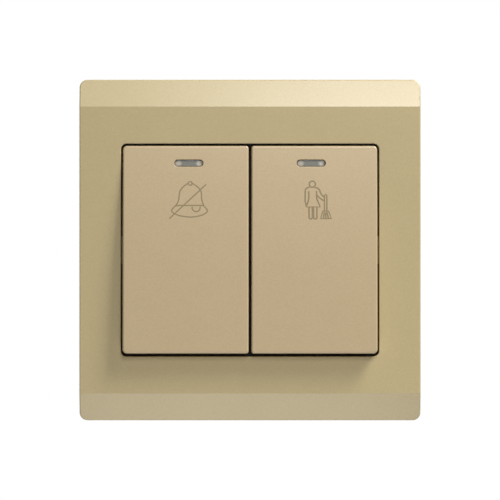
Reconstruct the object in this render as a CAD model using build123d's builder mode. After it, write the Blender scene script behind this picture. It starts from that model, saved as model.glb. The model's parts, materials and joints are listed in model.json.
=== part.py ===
from build123d import *
import math
import os

# Double rocker light switch for a square wall box, in millimetres.
# X runs to the right, Y into the wall and Z up. The origin is the middle of the plate on the wall's face.
# A height is a distance from the wall's face towards the room, so it lies along -Y.
# The switch is at rest with the top of both rockers pressed in, which is off.

# Plate on the wall
plate_size = 86.0
plate_corner_radius = 2.0
plate_height = 8.6
band_width = 6.85
band_drop = 1.8
plate_edge_radius = 0.4
plate_side_wall = 2.0
plate_front_wall = 2.0
opening_corner_radius = 1.4
opening_edge_radius = 0.25
collar_wall = 1.2
collar_end_height = 4.4
plate_rib_thickness = 1.2
plate_side_rib_z = 15.0
plate_end_rib_x = 30.0
screen_reach = 0.9
screen_length = 7.0
screen_thickness = 0.6
pry_notch_width = 8.0
pry_notch_height = 1.2

# Rockers
rocker_width = 31.7
rocker_length = 52.0
rocker_foot = 0.3
rocker_centre_gap = 0.7
rocker_side_gap = 0.45
rocker_end_gap = 0.8
rocker_proud = 1.9
rocker_front_wall = 1.8
rocker_skirt_wall = 1.2
rocker_skirt_depth = 5.0
rocker_outer_corner_radius = 1.0
rocker_inner_corner_radius = 0.65
rocker_edge_radius = 0.6
rocker_half_tilt = 3.5
rocker_rib_thickness = 1.0
rocker_rib_depth = 1.3
rocker_rib_window_gap = 5.6
clip_width = 9.0
clip_thickness = 1.2
clip_hook = 0.6
clip_hook_thickness = 0.7
clip_gap = 0.1

# Indicator windows and lamps
window_offset_x = 3.275
window_end_inset = 4.4
window_length = 7.3
window_width = 1.75
window_gap = 0.08
window_flange_lip = 1.0
window_flange_thickness = 1.0
window_foot = 0.7
lamp_radius = 1.5
lamp_gap = 2.0
lamp_board_inset = 3.2
lamp_flange_radius = 1.9
lamp_flange_thickness = 1.0
lamp_hole_gap = 0.3
board_thickness = 1.0
board_front_height = -1.6
board_side_gap = 0.5
board_end_gap = 0.3
board_lead_margin_x = 1.0
board_lead_margin_z = 0.8
resistor_radius = 0.95
resistor_length = 5.0
resistor_lead_offset_x = 3.6
resistor_pin_offset_z = 2.8
resistor_lead_radius = 0.25
resistor_lead_span = 7.4
wire_radius = 0.4
pin_inset = 1.8
pin_strip_inset = 2.9
lead_x = 5.0
lead_well_inset = 1.0
lead_bend_radius = 1.2
lead_landing = 2.0
solder_height = 0.4

# Hinge of the rockers
axis_height = 5.0
trunnion_radius = 1.25
trunnion_gap = 0.05
bearing_span = 16.6
bearing_wall = 1.7
bearing_length = 6.0
bearing_top_margin = 2.25
bearing_corner_radius = 1.5

# Actuators, plungers and springs
actuator_side_gap = 0.2
table_length = 18.0
table_thickness = 1.5
cheek_thickness = 1.5
cheek_length = 6.0
cheek_foot = 1.4
web_thickness = 1.2
web_depth = 3.0
stem_radius = 2.6
stem_window_gap = 0.4
spring_bore_radius = 1.6
spring_bore_depth = 8.0
plunger_gap = 0.05
plunger_proud = 1.0
plunger_body_length = 4.0
plunger_nose_radius = 1.0
plunger_nose_length = 1.45
plunger_pin_radius = 0.8
plunger_pin_length = 1.5
plunger_tip_gap = 0.05
spring_wire_radius = 0.175
spring_mean_radius = 1.2
spring_turns = 5.5

# Contacts
blade_thickness = 0.8
blade_width = 5.0
blade_end_margin = 1.8
blade_lower_length = 6.0
blade_ear_width = 8.4
blade_ear_length = 2.6
blade_half_tilt = 7.0
fulcrum_radius = 0.4
fulcrum_gap = 0.05
fulcrum_rise = 2.4
fulcrum_inset = 0.1
fulcrum_leg_x = 3.1
fulcrum_leg_thickness = 0.8
fulcrum_leg_foot = 3.0
fulcrum_leg_neck = 0.5
contact_arm = 8.5
tip_radius = 1.5
tip_depth = 0.8
tip_dome_radius = 4.0
tip_gap = 0.03
rivet_radius = 0.8
rivet_gap = 0.03
rivet_head_radius = 1.1
rivet_head_thickness = 0.25
fixed_tip_radius = 1.7
strip_thickness = 0.8
strip_width = 6.0
common_foot_width = 8.0
common_foot_z = 2.6
load_strip_lap = 1.9
strip_end_margin = 0.7
stop_z = 5.3
stop_length = 1.0
stop_width = 3.0
stop_gap = 0.03
lead_tab_length = 4.0

# Terminals
terminal_width = 7.0
terminal_length = 8.6
terminal_depth = 8.4
terminal_end_gap = 0.9
terminal_pocket_gap = 0.1
terminal_screw_depth = 4.4
wire_bore_radius = 1.7
wire_bore_depth = 7.0
wire_bore_inset = 5.3
wire_entry_gap = 0.7
peg_radius = 1.0
peg_gap = 0.03
peg_inset = 2.1
peg_proud = 0.3
terminal_screw_radius = 1.5
terminal_screw_head_radius = 2.3
terminal_screw_head_length = 1.8
terminal_screw_head_gap = 0.15
terminal_screw_tip_gap = 0.15
terminal_screw_hole_gap = 0.3
thread_gap = 0.03
recess_width = 0.6
recess_depth = 0.9

# Base housing behind the wall
gang_width = 22.75
partition_wall = 1.5
housing_wall = 1.5
housing_hollow_inset = 1.5
housing_depth = 22.0
housing_floor = 2.0
housing_corner_radius = 1.5
deck_floor = 2.4
well_length = 27.2
rear_recess_length = 22.0
core_wall = 1.5
core_roof = 2.0
boss_size = 4.6

# Steel support frame and moulded mechanism cover
yoke_margin = 1.5
yoke_thickness = 1.2
yoke_corner_radius = 3.0
yoke_ledge = 1.8
wall_screw_spacing = 60.3
wall_slot_width = 4.5
wall_slot_length = 8.0
latch_spacing = 36.0
latch_width = 8.0
latch_front_gap = 1.4
latch_window_width = 6.0
latch_window_height = 1.6
latch_window_bar = 1.0
latch_side_gap = 0.5
latch_gap = 0.15
barb_reach = 0.95
flange_lip_x = 0.5
flange_lip_z = 1.5
flange_thickness = 1.5
rim_thickness = 1.0
rim_length = 22.0
rim_depth = 2.2
rim_gap = 0.3
body_screw_radius = 1.25
body_screw_gap = 0.2
body_screw_length = 9.7
body_screw_head_radius = 2.2
body_screw_head_height = 1.5
pilot_gap = 0.03
pilot_margin = 1.0
beyond = 1.0

# Sizes that follow from those above
opening_width = 2 * rocker_width + rocker_centre_gap + 2 * rocker_side_gap
opening_length = rocker_length + 2 * rocker_end_gap
rocker_x = (rocker_centre_gap + rocker_width) / 2
rocker_front_height = plate_height + rocker_proud
rocker_under_height = rocker_front_height - rocker_front_wall
rocker_skirt_height = rocker_front_height - rocker_skirt_depth
housing_inner_width = 2 * gang_width + partition_wall
housing_inner_length = rocker_length - 2 * housing_hollow_inset
housing_width = housing_inner_width + 2 * housing_wall
housing_length = housing_inner_length + 2 * housing_wall
mechanism_x = (partition_wall + gang_width) / 2
window_x = mechanism_x + window_offset_x
window_z = rocker_length / 2 - window_end_inset
rocker_rib_z = window_z - rocker_rib_window_gap
flange_front_height = yoke_thickness + flange_thickness
flange_width = housing_width + 2 * flange_lip_x
flange_length = housing_length + 2 * flange_lip_z
body_screw_spacing_x = housing_inner_width - boss_size
body_screw_spacing_z = housing_inner_length - boss_size
bearing_x = (bearing_span + bearing_wall) / 2
bearing_top_height = axis_height + bearing_top_margin
actuator_width = bearing_span - 2 * actuator_side_gap
pocket_floor_height = housing_floor - housing_depth
deck_height = pocket_floor_height + terminal_depth
strip_front_height = deck_height + strip_thickness
fulcrum_height = strip_front_height + fulcrum_rise
blade_under_height = fulcrum_height + fulcrum_inset
blade_top_height = blade_under_height + blade_thickness
plunger_tip_height = blade_top_height + plunger_tip_gap
plunger_radius = spring_bore_radius - plunger_gap
plunger_front_height = plunger_tip_height + plunger_nose_length
plunger_back_height = plunger_front_height + plunger_body_length
stem_end_height = plunger_front_height + plunger_proud
spring_bore_top_height = stem_end_height + spring_bore_depth
board_rear_height = board_front_height - board_thickness
board_upper_z = housing_inner_length / 2 - board_end_gap
board_outer_x = housing_inner_width / 2 - boss_size - board_side_gap
board_inner_x = lead_x - board_lead_margin_x
lamp_z = board_upper_z - lamp_board_inset
lamp_height = rocker_under_height - window_flange_thickness - window_foot - lamp_gap
lead_z = well_length / 2 - lead_well_inset
board_lower_z = lead_z - board_lead_margin_z
terminal_end_z = housing_inner_length / 2 - terminal_end_gap
terminal_z = terminal_end_z - terminal_length / 2
wire_bore_z = terminal_end_z - wire_bore_inset
peg_z = terminal_end_z - peg_inset
strip_outer_z = terminal_end_z - strip_end_margin
terminal_screw_height = deck_height - terminal_screw_depth
pin_x = mechanism_x - pin_inset
pin_z = strip_outer_z - pin_strip_inset
resistor_x = lead_x + resistor_lead_offset_x
resistor_z = pin_z - resistor_pin_offset_z
blade_upper_length = contact_arm + blade_end_margin
load_strip_end_z = contact_arm - load_strip_lap
blade_tilt_sine = math.sin(math.radians(blade_half_tilt))
blade_tilt_cosine = math.cos(math.radians(blade_half_tilt))
blade_tilt_slope = blade_tilt_sine / blade_tilt_cosine
yoke_size = plate_size - 2 * (plate_side_wall + yoke_margin)
latch_height = plate_height - plate_front_wall - latch_front_gap
latch_window_start = latch_height - latch_window_bar - latch_window_height
latch_z = (yoke_size - yoke_thickness) / 2
barb_face_z = yoke_size / 2 + latch_gap

# Where the moving tip's dome comes to rest when the blade closes on the upper strip
dome_centre_rise = tip_dome_radius + fulcrum_inset - tip_depth
fixed_tip_z = dome_centre_rise * blade_tilt_sine + contact_arm * blade_tilt_cosine
dome_low_point = dome_centre_rise * blade_tilt_cosine - contact_arm * blade_tilt_sine - tip_dome_radius
fixed_tip_height = fulcrum_height + dome_low_point - tip_gap

# Top of the stop that the blade's lower end rests on when the switch is off
stop_outer_z = stop_z + stop_length / 2
stop_height = fulcrum_height + fulcrum_inset / blade_tilt_cosine - stop_outer_z * blade_tilt_slope - stop_gap

# Alignments of a box or cylinder that stands on its place or hangs from it
standing = (Align.CENTER, Align.CENTER, Align.MIN)
hanging = (Align.CENTER, Align.CENTER, Align.MAX)
along_x = (0, 90, 0)
along_z = (90, 0, 0)
sides = (("left", -1), ("right", 1))
ends = (-1, 1)

os.makedirs("parts", exist_ok=True)


def turned(hinge_height, angle):
    """Return the wall's plane after a turn about a hinge line along X, so heights in it are untilted ones."""
    turn = math.radians(angle)
    outward = (0, -math.cos(turn), -math.sin(turn))
    hinge = Plane(origin=(0, -hinge_height, 0), x_dir=(1, 0, 0), z_dir=outward)
    return hinge.offset(-hinge_height)


def side_view(frame, x):
    """Return the plane that looks along X at a place: its own x is up and its own y is the height."""
    return Plane(origin=frame.from_local_coords((x, 0, 0)), x_dir=frame.y_dir, z_dir=frame.x_dir)


def quarters(x, z, height):
    """Return a place in each quarter of the plate, mirrored both ways."""
    return [(sx * x, sz * z, height) for sx in ends for sz in ends]


def write(piece, label):
    """Label a finished piece and write it to its own file."""
    piece.part.label = label
    export_step(piece.part, f"parts/{label}.step")


wall = Plane.XZ
rocker_frame = turned(axis_height, -rocker_half_tilt)
blade_frame = turned(fulcrum_height, blade_half_tilt)


def make_cover_frame():
    """Make the square surround with its two sloped bands, its opening and the barbs that hold it."""
    half = plate_size / 2
    crease = half - band_width
    slope = band_drop / band_width
    inner_half = half - plate_side_wall
    under_height = plate_height - plate_front_wall
    with BuildPart(wall) as cover_frame:
        with BuildSketch(wall):
            RectangleRounded(plate_size, plate_size, plate_corner_radius)
        extrude(amount=plate_height)
        # The slopes of the top and bottom bands
        with BuildSketch(side_view(wall, 0)):
            with BuildLine():
                Polyline(
                    (crease, plate_height),
                    (half + beyond, plate_height - (band_width + beyond) * slope),
                    (half + beyond, plate_height + beyond),
                    (crease, plate_height + beyond),
                    close=True,
                )
            make_face()
            mirror(about=Plane.YZ)
        extrude(amount=half + beyond, both=True, mode=Mode.SUBTRACT)
        front_edges = cover_frame.edges().filter_by(
            lambda e: -e.center().Y > plate_height - band_drop - plate_edge_radius
            and max(abs(e.center().X), abs(e.center().Z)) > half - plate_corner_radius
        )
        fillet(front_edges, plate_edge_radius)
        # The hollow behind, as deep under the bands as under the face
        with BuildSketch(side_view(wall, 0)):
            with BuildLine():
                Polyline(
                    (0, under_height),
                    (crease, under_height),
                    (inner_half, under_height - (inner_half - crease) * slope),
                    (inner_half, -beyond),
                    (0, -beyond),
                    close=True,
                )
            make_face()
            mirror(about=Plane.YZ)
        extrude(amount=inner_half, both=True, mode=Mode.SUBTRACT)
        # The collar round the opening
        with BuildSketch(wall.offset(collar_end_height)):
            RectangleRounded(
                opening_width + 2 * collar_wall,
                opening_length + 2 * collar_wall,
                opening_corner_radius + collar_wall,
            )
        extrude(amount=under_height - collar_end_height + plate_front_wall / 2)
        # Ribs that bear on the support frame
        side_rib_length = inner_half - opening_width / 2
        end_rib_length = inner_half - opening_length / 2
        rib_height = under_height - yoke_thickness
        side_rib_x = inner_half - side_rib_length / 2
        end_rib_z = inner_half - end_rib_length / 2
        with Locations(*quarters(side_rib_x, plate_side_rib_z, yoke_thickness)):
            Box(side_rib_length + beyond, plate_rib_thickness, rib_height, align=standing)
        with Locations(*quarters(plate_end_rib_x, end_rib_z, yoke_thickness)):
            Box(plate_rib_thickness, end_rib_length + beyond, collar_end_height - yoke_thickness,
                align=standing)
        # Barbs that snap into the windows of the support frame's latches
        barb_height = latch_window_height - 2 * latch_gap
        barb_width = latch_window_width - 2 * latch_side_gap
        block_length = inner_half + beyond - barb_face_z
        block_z = barb_face_z + block_length / 2
        block_height = latch_height - latch_window_start
        barb_length = barb_reach + beyond
        barb_z = barb_face_z - barb_reach + barb_length / 2
        with Locations(*quarters(latch_spacing / 2, block_z, latch_window_start)):
            Box(latch_width, block_length, block_height, align=standing)
        with Locations(*quarters(latch_spacing / 2, barb_z, latch_window_start + latch_gap)):
            Box(barb_width, barb_length, barb_height, align=standing)
        # The opening itself, through the face and the collar
        with BuildSketch(wall):
            RectangleRounded(opening_width, opening_length, opening_corner_radius)
        extrude(amount=plate_height + beyond, mode=Mode.SUBTRACT)
        opening_edges = cover_frame.faces().sort_by(Axis.Y)[0].inner_wires()[0].edges()
        fillet(opening_edges, opening_edge_radius)
        # Lips under the rockers' outer edges that hide the wall screws behind them
        with Locations((-opening_width / 2, 0, collar_end_height), (opening_width / 2, 0, collar_end_height)):
            Box(2 * screen_reach, screen_length, screen_thickness, align=standing)
        # A notch at the bottom for a screwdriver that prises the surround off
        with Locations((0, -half, 0)):
            Box(pry_notch_width, 2 * (plate_side_wall + beyond), pry_notch_height, align=standing,
                mode=Mode.SUBTRACT)
    write(cover_frame, "cover_frame")


def make_support_frame():
    """Make the steel frame with the slots for the wall screws and the bent-up latches."""
    window_width_inside = housing_width - 2 * yoke_ledge
    window_length_inside = housing_length - 2 * yoke_ledge
    with BuildPart(wall) as support_frame:
        with BuildSketch(wall):
            RectangleRounded(yoke_size, yoke_size, yoke_corner_radius)
            Rectangle(window_width_inside, housing_inner_length - 2 * boss_size, mode=Mode.SUBTRACT)
            Rectangle(housing_inner_width - 2 * boss_size, window_length_inside, mode=Mode.SUBTRACT)
            with GridLocations(wall_screw_spacing, 0, 2, 1):
                SlotOverall(wall_slot_length, wall_slot_width, mode=Mode.SUBTRACT)
            with GridLocations(body_screw_spacing_x, body_screw_spacing_z, 2, 2):
                Circle(body_screw_radius + body_screw_gap, mode=Mode.SUBTRACT)
        extrude(amount=yoke_thickness)
        with GridLocations(latch_spacing, 2 * latch_z, 2, 2):
            Box(latch_width, yoke_thickness, latch_height, align=standing)
        with Locations(*quarters(latch_spacing / 2, latch_z, latch_window_start)):
            Box(latch_window_width, 2 * yoke_thickness, latch_window_height, align=standing,
                mode=Mode.SUBTRACT)
    write(support_frame, "support_frame")


def make_mechanism_cover():
    """Make the moulded cover that clamps on the support frame and carries the rockers' bearings."""
    stem_swing = (axis_height - yoke_thickness) * math.sin(math.radians(rocker_half_tilt))
    stem_window = 2 * (stem_radius + stem_swing + stem_window_gap)
    with BuildPart(wall) as mechanism_cover:
        with BuildSketch(wall.offset(yoke_thickness)):
            RectangleRounded(flange_width, flange_length, housing_corner_radius)
            with GridLocations(2 * mechanism_x, 0, 2, 1):
                Rectangle(stem_window, stem_window, mode=Mode.SUBTRACT)
            with Locations((-window_x, lamp_z), (window_x, lamp_z)):
                Circle(lamp_radius + lamp_hole_gap, mode=Mode.SUBTRACT)
            with GridLocations(body_screw_spacing_x, body_screw_spacing_z, 2, 2):
                Circle(body_screw_radius + body_screw_gap, mode=Mode.SUBTRACT)
        extrude(amount=flange_thickness)
        # Ears with the bearing holes
        ear_places = [sx * mechanism_x + se * bearing_x for sx in ends for se in ends]
        for x in ear_places:
            with BuildSketch(side_view(wall, x)):
                with Locations((0, flange_front_height)):
                    Rectangle(bearing_length, bearing_top_height - flange_front_height,
                              align=(Align.CENTER, Align.MIN))
                with Locations((0, axis_height)):
                    Circle(trunnion_radius + trunnion_gap, mode=Mode.SUBTRACT)
            extrude(amount=bearing_wall / 2, both=True)
        tops = mechanism_cover.edges().filter_by(Axis.X).group_by(Axis.Y)[0]
        fillet(tops, bearing_corner_radius)
        # Rims that fit inside the support frame's window
        rim_x = housing_width / 2 - yoke_ledge - rim_gap - rim_thickness / 2
        with Locations((-rim_x, 0, yoke_thickness), (rim_x, 0, yoke_thickness)):
            Box(rim_thickness, rim_length, rim_depth, align=hanging)
    write(mechanism_cover, "mechanism_cover")


def make_base_housing():
    """Make the moulded base with a well for each mechanism and a pocket for each terminal."""
    inner_x = housing_inner_width / 2
    inner_z = housing_inner_length / 2
    well_z = well_length / 2
    pocket_width = terminal_width + 2 * terminal_pocket_gap
    pocket_start_z = terminal_z - terminal_length / 2 - terminal_pocket_gap
    shelf_length = inner_z - well_z
    core_length = inner_z - core_wall - well_z - core_wall / 2
    core_z = inner_z - core_wall - core_length / 2
    pocket_edge = pocket_width / 2
    inner_core = (partition_wall / 2 + core_wall / 2, mechanism_x - pocket_edge - core_wall)
    outer_core = (mechanism_x + pocket_edge + core_wall, inner_x - core_wall / 2)
    core_depth = housing_depth + board_rear_height - core_roof
    boss_core_depth = housing_depth - (body_screw_length + pilot_margin + core_roof)
    with BuildPart(wall) as base_housing:
        with BuildSketch(wall):
            RectangleRounded(housing_width, housing_length, housing_corner_radius)
        extrude(amount=-housing_depth)
        for side in ends:
            x = side * mechanism_x
            with Locations((x, 0, 0)):
                Box(gang_width, well_length, -deck_height, align=hanging, mode=Mode.SUBTRACT)
            for end in ends:
                # The shelf beside each terminal, and the terminal's pocket
                with Locations((x, end * (inner_z - shelf_length / 2), 0)):
                    Box(gang_width, shelf_length, -board_rear_height, align=hanging, mode=Mode.SUBTRACT)
                with Locations((x, end * (inner_z + well_z) / 2, 0)):
                    Box(pocket_width, shelf_length, -strip_front_height + strip_thickness, align=hanging,
                        mode=Mode.SUBTRACT)
                with Locations((x, end * (inner_z + pocket_start_z) / 2, 0)):
                    Box(pocket_width, inner_z - pocket_start_z, -pocket_floor_height, align=hanging,
                        mode=Mode.SUBTRACT)
                # The wire entry behind, and the way in for the terminal's screw
                with Locations((x, end * wire_bore_z, -housing_depth)):
                    Cylinder(wire_bore_radius + wire_entry_gap, housing_floor, align=standing,
                             mode=Mode.SUBTRACT)
                with Locations((x, end * (inner_z + housing_wall / 2), terminal_screw_height)):
                    Cylinder(terminal_screw_head_radius + terminal_screw_hole_gap, 2 * housing_wall,
                             rotation=along_z, mode=Mode.SUBTRACT)
                # The corner boss with its pilot hole
                boss_x = side * body_screw_spacing_x / 2
                boss_z = end * body_screw_spacing_z / 2
                with Locations((boss_x, boss_z, 0)):
                    Box(boss_size, boss_size, -deck_height, align=hanging)
                with Locations((boss_x, boss_z, 0)):
                    Cylinder(body_screw_radius + pilot_gap, body_screw_length - flange_front_height
                             + pilot_margin, align=hanging, mode=Mode.SUBTRACT)
                # Cores from behind that keep the walls thin
                cores = ((inner_core, core_depth), (outer_core, boss_core_depth))
                for (near, far), depth in cores:
                    with Locations((side * (near + far) / 2, end * core_z, -housing_depth)):
                        Box(far - near, core_length, depth, align=standing, mode=Mode.SUBTRACT)
        # The recess across the back between the two rows of terminals
        with Locations((0, 0, -housing_depth)):
            Box(housing_width + beyond, rear_recess_length, housing_depth + deck_height - deck_floor,
                align=standing, mode=Mode.SUBTRACT)
    write(base_housing, "base_housing")


def make_body_screws():
    """Make the four screws that clamp the cover, the support frame and the housing together."""
    with BuildPart(wall) as body_screws:
        for sx in ends:
            for sz in ends:
                place = (sx * body_screw_spacing_x / 2, sz * body_screw_spacing_z / 2)
                top = (*place, flange_front_height + body_screw_head_height)
                with Locations((*place, flange_front_height)):
                    Cylinder(body_screw_radius, body_screw_length, align=hanging)
                    Cylinder(body_screw_head_radius, body_screw_head_height, align=standing)
                with Locations(top):
                    Box(2 * body_screw_radius, recess_width, recess_depth, align=hanging, mode=Mode.SUBTRACT)
                    Box(recess_width, 2 * body_screw_radius, recess_depth, align=hanging, mode=Mode.SUBTRACT)
    write(body_screws, "body_screws")


def make_rocker(name, side):
    """Make one rocker with its skirts, its indicator slot and the clips that grip the actuator."""
    x = side * rocker_x
    full_length = rocker_length + rocker_foot
    middle_z = -rocker_foot / 2
    outward = Axis(rocker_frame.origin, rocker_frame.z_dir)
    with BuildPart(rocker_frame) as rocker:
        with BuildSketch(rocker_frame.offset(rocker_skirt_height)) as outline:
            with Locations((x, middle_z)):
                Rectangle(rocker_width, full_length)
            fillet(outline.vertices().filter_by(lambda v: abs(v.X) > rocker_x), rocker_outer_corner_radius)
            fillet(outline.vertices().filter_by(lambda v: abs(v.X) < rocker_centre_gap),
                   rocker_inner_corner_radius)
        extrude(amount=rocker_skirt_depth)
        fillet(rocker.edges().group_by(outward)[-1], rocker_edge_radius)
        with Locations((x, middle_z, rocker_skirt_height)):
            Box(rocker_width - 2 * rocker_skirt_wall, full_length - 2 * rocker_skirt_wall,
                rocker_skirt_depth - rocker_front_wall, align=standing, mode=Mode.SUBTRACT)
        # Cross ribs under the face
        with Locations((x, -rocker_rib_z, rocker_under_height), (x, rocker_rib_z, rocker_under_height)):
            Box(rocker_width - rocker_skirt_wall, rocker_rib_thickness, rocker_rib_depth, align=hanging)
        # The slot for the indicator window
        with BuildSketch(rocker_frame.offset(rocker_under_height)):
            with Locations((side * window_x, window_z)):
                SlotOverall(window_length, window_width)
        extrude(amount=rocker_front_wall + beyond, mode=Mode.SUBTRACT)
        # Clips with hooks under the actuator's table
        clip_x = side * mechanism_x
        clip_z = table_length / 2 + clip_gap + clip_thickness / 2
        hook_z = table_length / 2 + clip_gap - clip_hook / 2
        hook_height = rocker_under_height - table_thickness - clip_gap
        clip_depth = table_thickness + clip_gap + clip_hook_thickness
        for end in ends:
            with Locations((clip_x, end * clip_z, rocker_under_height)):
                Box(clip_width, clip_thickness, clip_depth, align=hanging)
            with Locations((clip_x, end * hook_z, hook_height)):
                Box(clip_width, clip_hook, clip_hook_thickness, align=hanging)
    write(rocker, f"rocker_{name}")


def make_indicator_window(name, side):
    """Make the clear window that fills the rocker's slot and leads the lamp's light to it."""
    place = (side * window_x, window_z)
    guide_length = window_length - 2 * window_gap
    guide_width = window_width - 2 * window_gap
    flange_under_height = rocker_under_height - window_flange_thickness
    with BuildPart(rocker_frame) as indicator_window:
        with BuildSketch(rocker_frame.offset(flange_under_height - window_foot)):
            with Locations(place):
                SlotOverall(guide_length, guide_width)
        extrude(amount=rocker_front_wall + window_flange_thickness + window_foot)
        with BuildSketch(rocker_frame.offset(flange_under_height)):
            with Locations(place):
                SlotOverall(window_length + 2 * window_flange_lip, window_width + 2 * window_flange_lip)
        extrude(amount=window_flange_thickness)
    write(indicator_window, f"indicator_window_{name}")


def make_actuator(name, side):
    """Make the part under the rocker that turns in the bearings and pushes the blade over."""
    x = side * mechanism_x
    table_under_height = rocker_under_height - table_thickness
    cheek_x = (actuator_width - cheek_thickness) / 2
    cheek_depth = table_under_height - axis_height + cheek_foot
    trunnion_length = actuator_side_gap + bearing_wall
    trunnion_x = (actuator_width + trunnion_length) / 2
    with BuildPart(rocker_frame) as actuator:
        with Locations((x, 0, rocker_under_height)):
            Box(actuator_width, table_length, table_thickness, align=hanging)
        with Locations((x, 0, table_under_height)):
            Box(actuator_width, web_thickness, web_depth, align=hanging)
        with Locations((x - cheek_x, 0, table_under_height), (x + cheek_x, 0, table_under_height)):
            Box(cheek_thickness, cheek_length, cheek_depth, align=hanging)
        with Locations((x - trunnion_x, 0, axis_height), (x + trunnion_x, 0, axis_height)):
            Cylinder(trunnion_radius, trunnion_length, rotation=along_x)
        with Locations((x, 0, stem_end_height)):
            Cylinder(stem_radius, table_under_height - stem_end_height, align=standing)
        with Locations((x, 0, stem_end_height)):
            Cylinder(spring_bore_radius, spring_bore_top_height - stem_end_height, align=standing,
                     mode=Mode.SUBTRACT)
    write(actuator, f"actuator_{name}")


def make_plunger(name, side):
    """Make the plunger that the spring holds against the blade."""
    x = side * mechanism_x
    nose_height = plunger_tip_height + plunger_nose_radius
    with BuildPart(rocker_frame) as plunger:
        with Locations((x, 0, plunger_front_height)):
            Cylinder(plunger_radius, plunger_body_length, align=standing)
        with Locations((x, 0, plunger_back_height)):
            Cylinder(plunger_pin_radius, plunger_pin_length, align=standing)
        with Locations((x, 0, nose_height)):
            Cylinder(plunger_nose_radius, plunger_front_height - nose_height, align=standing)
            Sphere(plunger_nose_radius)
    write(plunger, f"plunger_{name}")


def make_plunger_spring(name, side):
    """Make the compression spring between the bore's end and the plunger's shoulder."""
    start = (side * mechanism_x, 0, plunger_back_height + spring_wire_radius)
    spring_length = spring_bore_top_height - plunger_back_height - 2 * spring_wire_radius
    with BuildPart() as plunger_spring:
        with BuildLine(rocker_frame) as coil:
            Helix(spring_length / spring_turns, spring_length, spring_mean_radius, center=start,
                  direction=rocker_frame.z_dir)
        with BuildSketch(Plane(origin=coil.line @ 0, z_dir=coil.line % 0)):
            Circle(spring_wire_radius)
        sweep(is_frenet=True)
    write(plunger_spring, f"plunger_spring_{name}")


def make_moving_contact(name, side):
    """Make the see-saw blade that rocks on the common strip's two rounded legs."""
    x = side * mechanism_x
    blade_length = blade_upper_length + blade_lower_length
    blade_z = (blade_upper_length - blade_lower_length) / 2
    with BuildPart(blade_frame) as moving_contact:
        with Locations((x, blade_z, blade_under_height)):
            Box(blade_width, blade_length, blade_thickness, align=standing)
        with Locations((x, 0, blade_under_height)):
            Box(blade_ear_width, blade_ear_length, blade_thickness, align=standing)
        with Locations((x, 0, fulcrum_height)):
            Cylinder(fulcrum_radius + fulcrum_gap, blade_ear_width + beyond, rotation=along_x,
                     mode=Mode.SUBTRACT)
        with Locations((x, contact_arm, blade_under_height)):
            Cylinder(rivet_radius + rivet_gap, blade_thickness, align=standing, mode=Mode.SUBTRACT)
    write(moving_contact, f"moving_contact_{name}")


def make_moving_contact_tip(name, side):
    """Make the domed silver rivet at the blade's upper end."""
    place = (side * mechanism_x, contact_arm)
    with BuildPart(blade_frame) as moving_contact_tip:
        with Locations((*place, blade_under_height)):
            Cylinder(tip_radius, tip_depth, align=hanging)
        with Locations((*place, fulcrum_height + dome_centre_rise)):
            Sphere(tip_dome_radius, mode=Mode.INTERSECT)
        with Locations((*place, blade_under_height)):
            Cylinder(rivet_radius, blade_thickness, align=standing)
        with Locations((*place, blade_top_height)):
            Cylinder(rivet_head_radius, rivet_head_thickness, align=standing)
    write(moving_contact_tip, f"moving_contact_tip_{name}")


def make_common_strip(name, side):
    """Make the strip that carries the blade's fulcrum and runs down to the common terminal."""
    x = side * mechanism_x
    strip_length = strip_outer_z + common_foot_z
    foot_length = common_foot_z + stop_outer_z
    tab_end = lead_x - 2 * wire_radius
    tab_z = stop_outer_z + lead_tab_length / 2
    leg_shoulder = fulcrum_height - fulcrum_leg_neck
    with BuildPart(wall) as common_strip:
        with Locations((x, common_foot_z - strip_length / 2, deck_height)):
            Box(strip_width, strip_length, strip_thickness, align=standing)
        with Locations((x, common_foot_z - foot_length / 2, deck_height)):
            Box(common_foot_width, foot_length, strip_thickness, align=standing)
        with Locations((side * (tab_end + mechanism_x) / 2, -tab_z, deck_height)):
            Box(mechanism_x - tab_end, lead_tab_length, strip_thickness, align=standing)
        # Two legs with rounded tops that the blade rocks on
        for leg in ends:
            with BuildSketch(side_view(wall, x + leg * fulcrum_leg_x)):
                with BuildLine():
                    Polyline(
                        (fulcrum_radius, fulcrum_height),
                        (fulcrum_radius, leg_shoulder),
                        (fulcrum_leg_foot / 2, strip_front_height),
                        (-fulcrum_leg_foot / 2, strip_front_height),
                        (-fulcrum_radius, leg_shoulder),
                        (-fulcrum_radius, fulcrum_height),
                    )
                    RadiusArc((fulcrum_radius, fulcrum_height), (-fulcrum_radius, fulcrum_height),
                              -fulcrum_radius)
                make_face()
            extrude(amount=fulcrum_leg_thickness / 2, both=True)
        # The stop under the blade's lower end
        with Locations((x, -stop_z, strip_front_height)):
            Box(stop_width, stop_length, stop_height - strip_front_height, align=standing)
        with Locations((x, -peg_z, deck_height)):
            Cylinder(peg_radius + peg_gap, strip_thickness, align=standing, mode=Mode.SUBTRACT)
    write(common_strip, f"common_strip_{name}")


def make_load_strip(name, side):
    """Make the strip that joins the fixed contact to the load terminal."""
    x = side * mechanism_x
    strip_length = strip_outer_z - load_strip_end_z
    with BuildPart(wall) as load_strip:
        with Locations((x, load_strip_end_z + strip_length / 2, deck_height)):
            Box(strip_width, strip_length, strip_thickness, align=standing)
        with Locations((x, fixed_tip_z, deck_height)):
            Cylinder(rivet_radius + rivet_gap, strip_thickness, align=standing, mode=Mode.SUBTRACT)
        with Locations((x, peg_z, deck_height)):
            Cylinder(peg_radius + peg_gap, strip_thickness, align=standing, mode=Mode.SUBTRACT)
    write(load_strip, f"load_strip_{name}")


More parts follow.
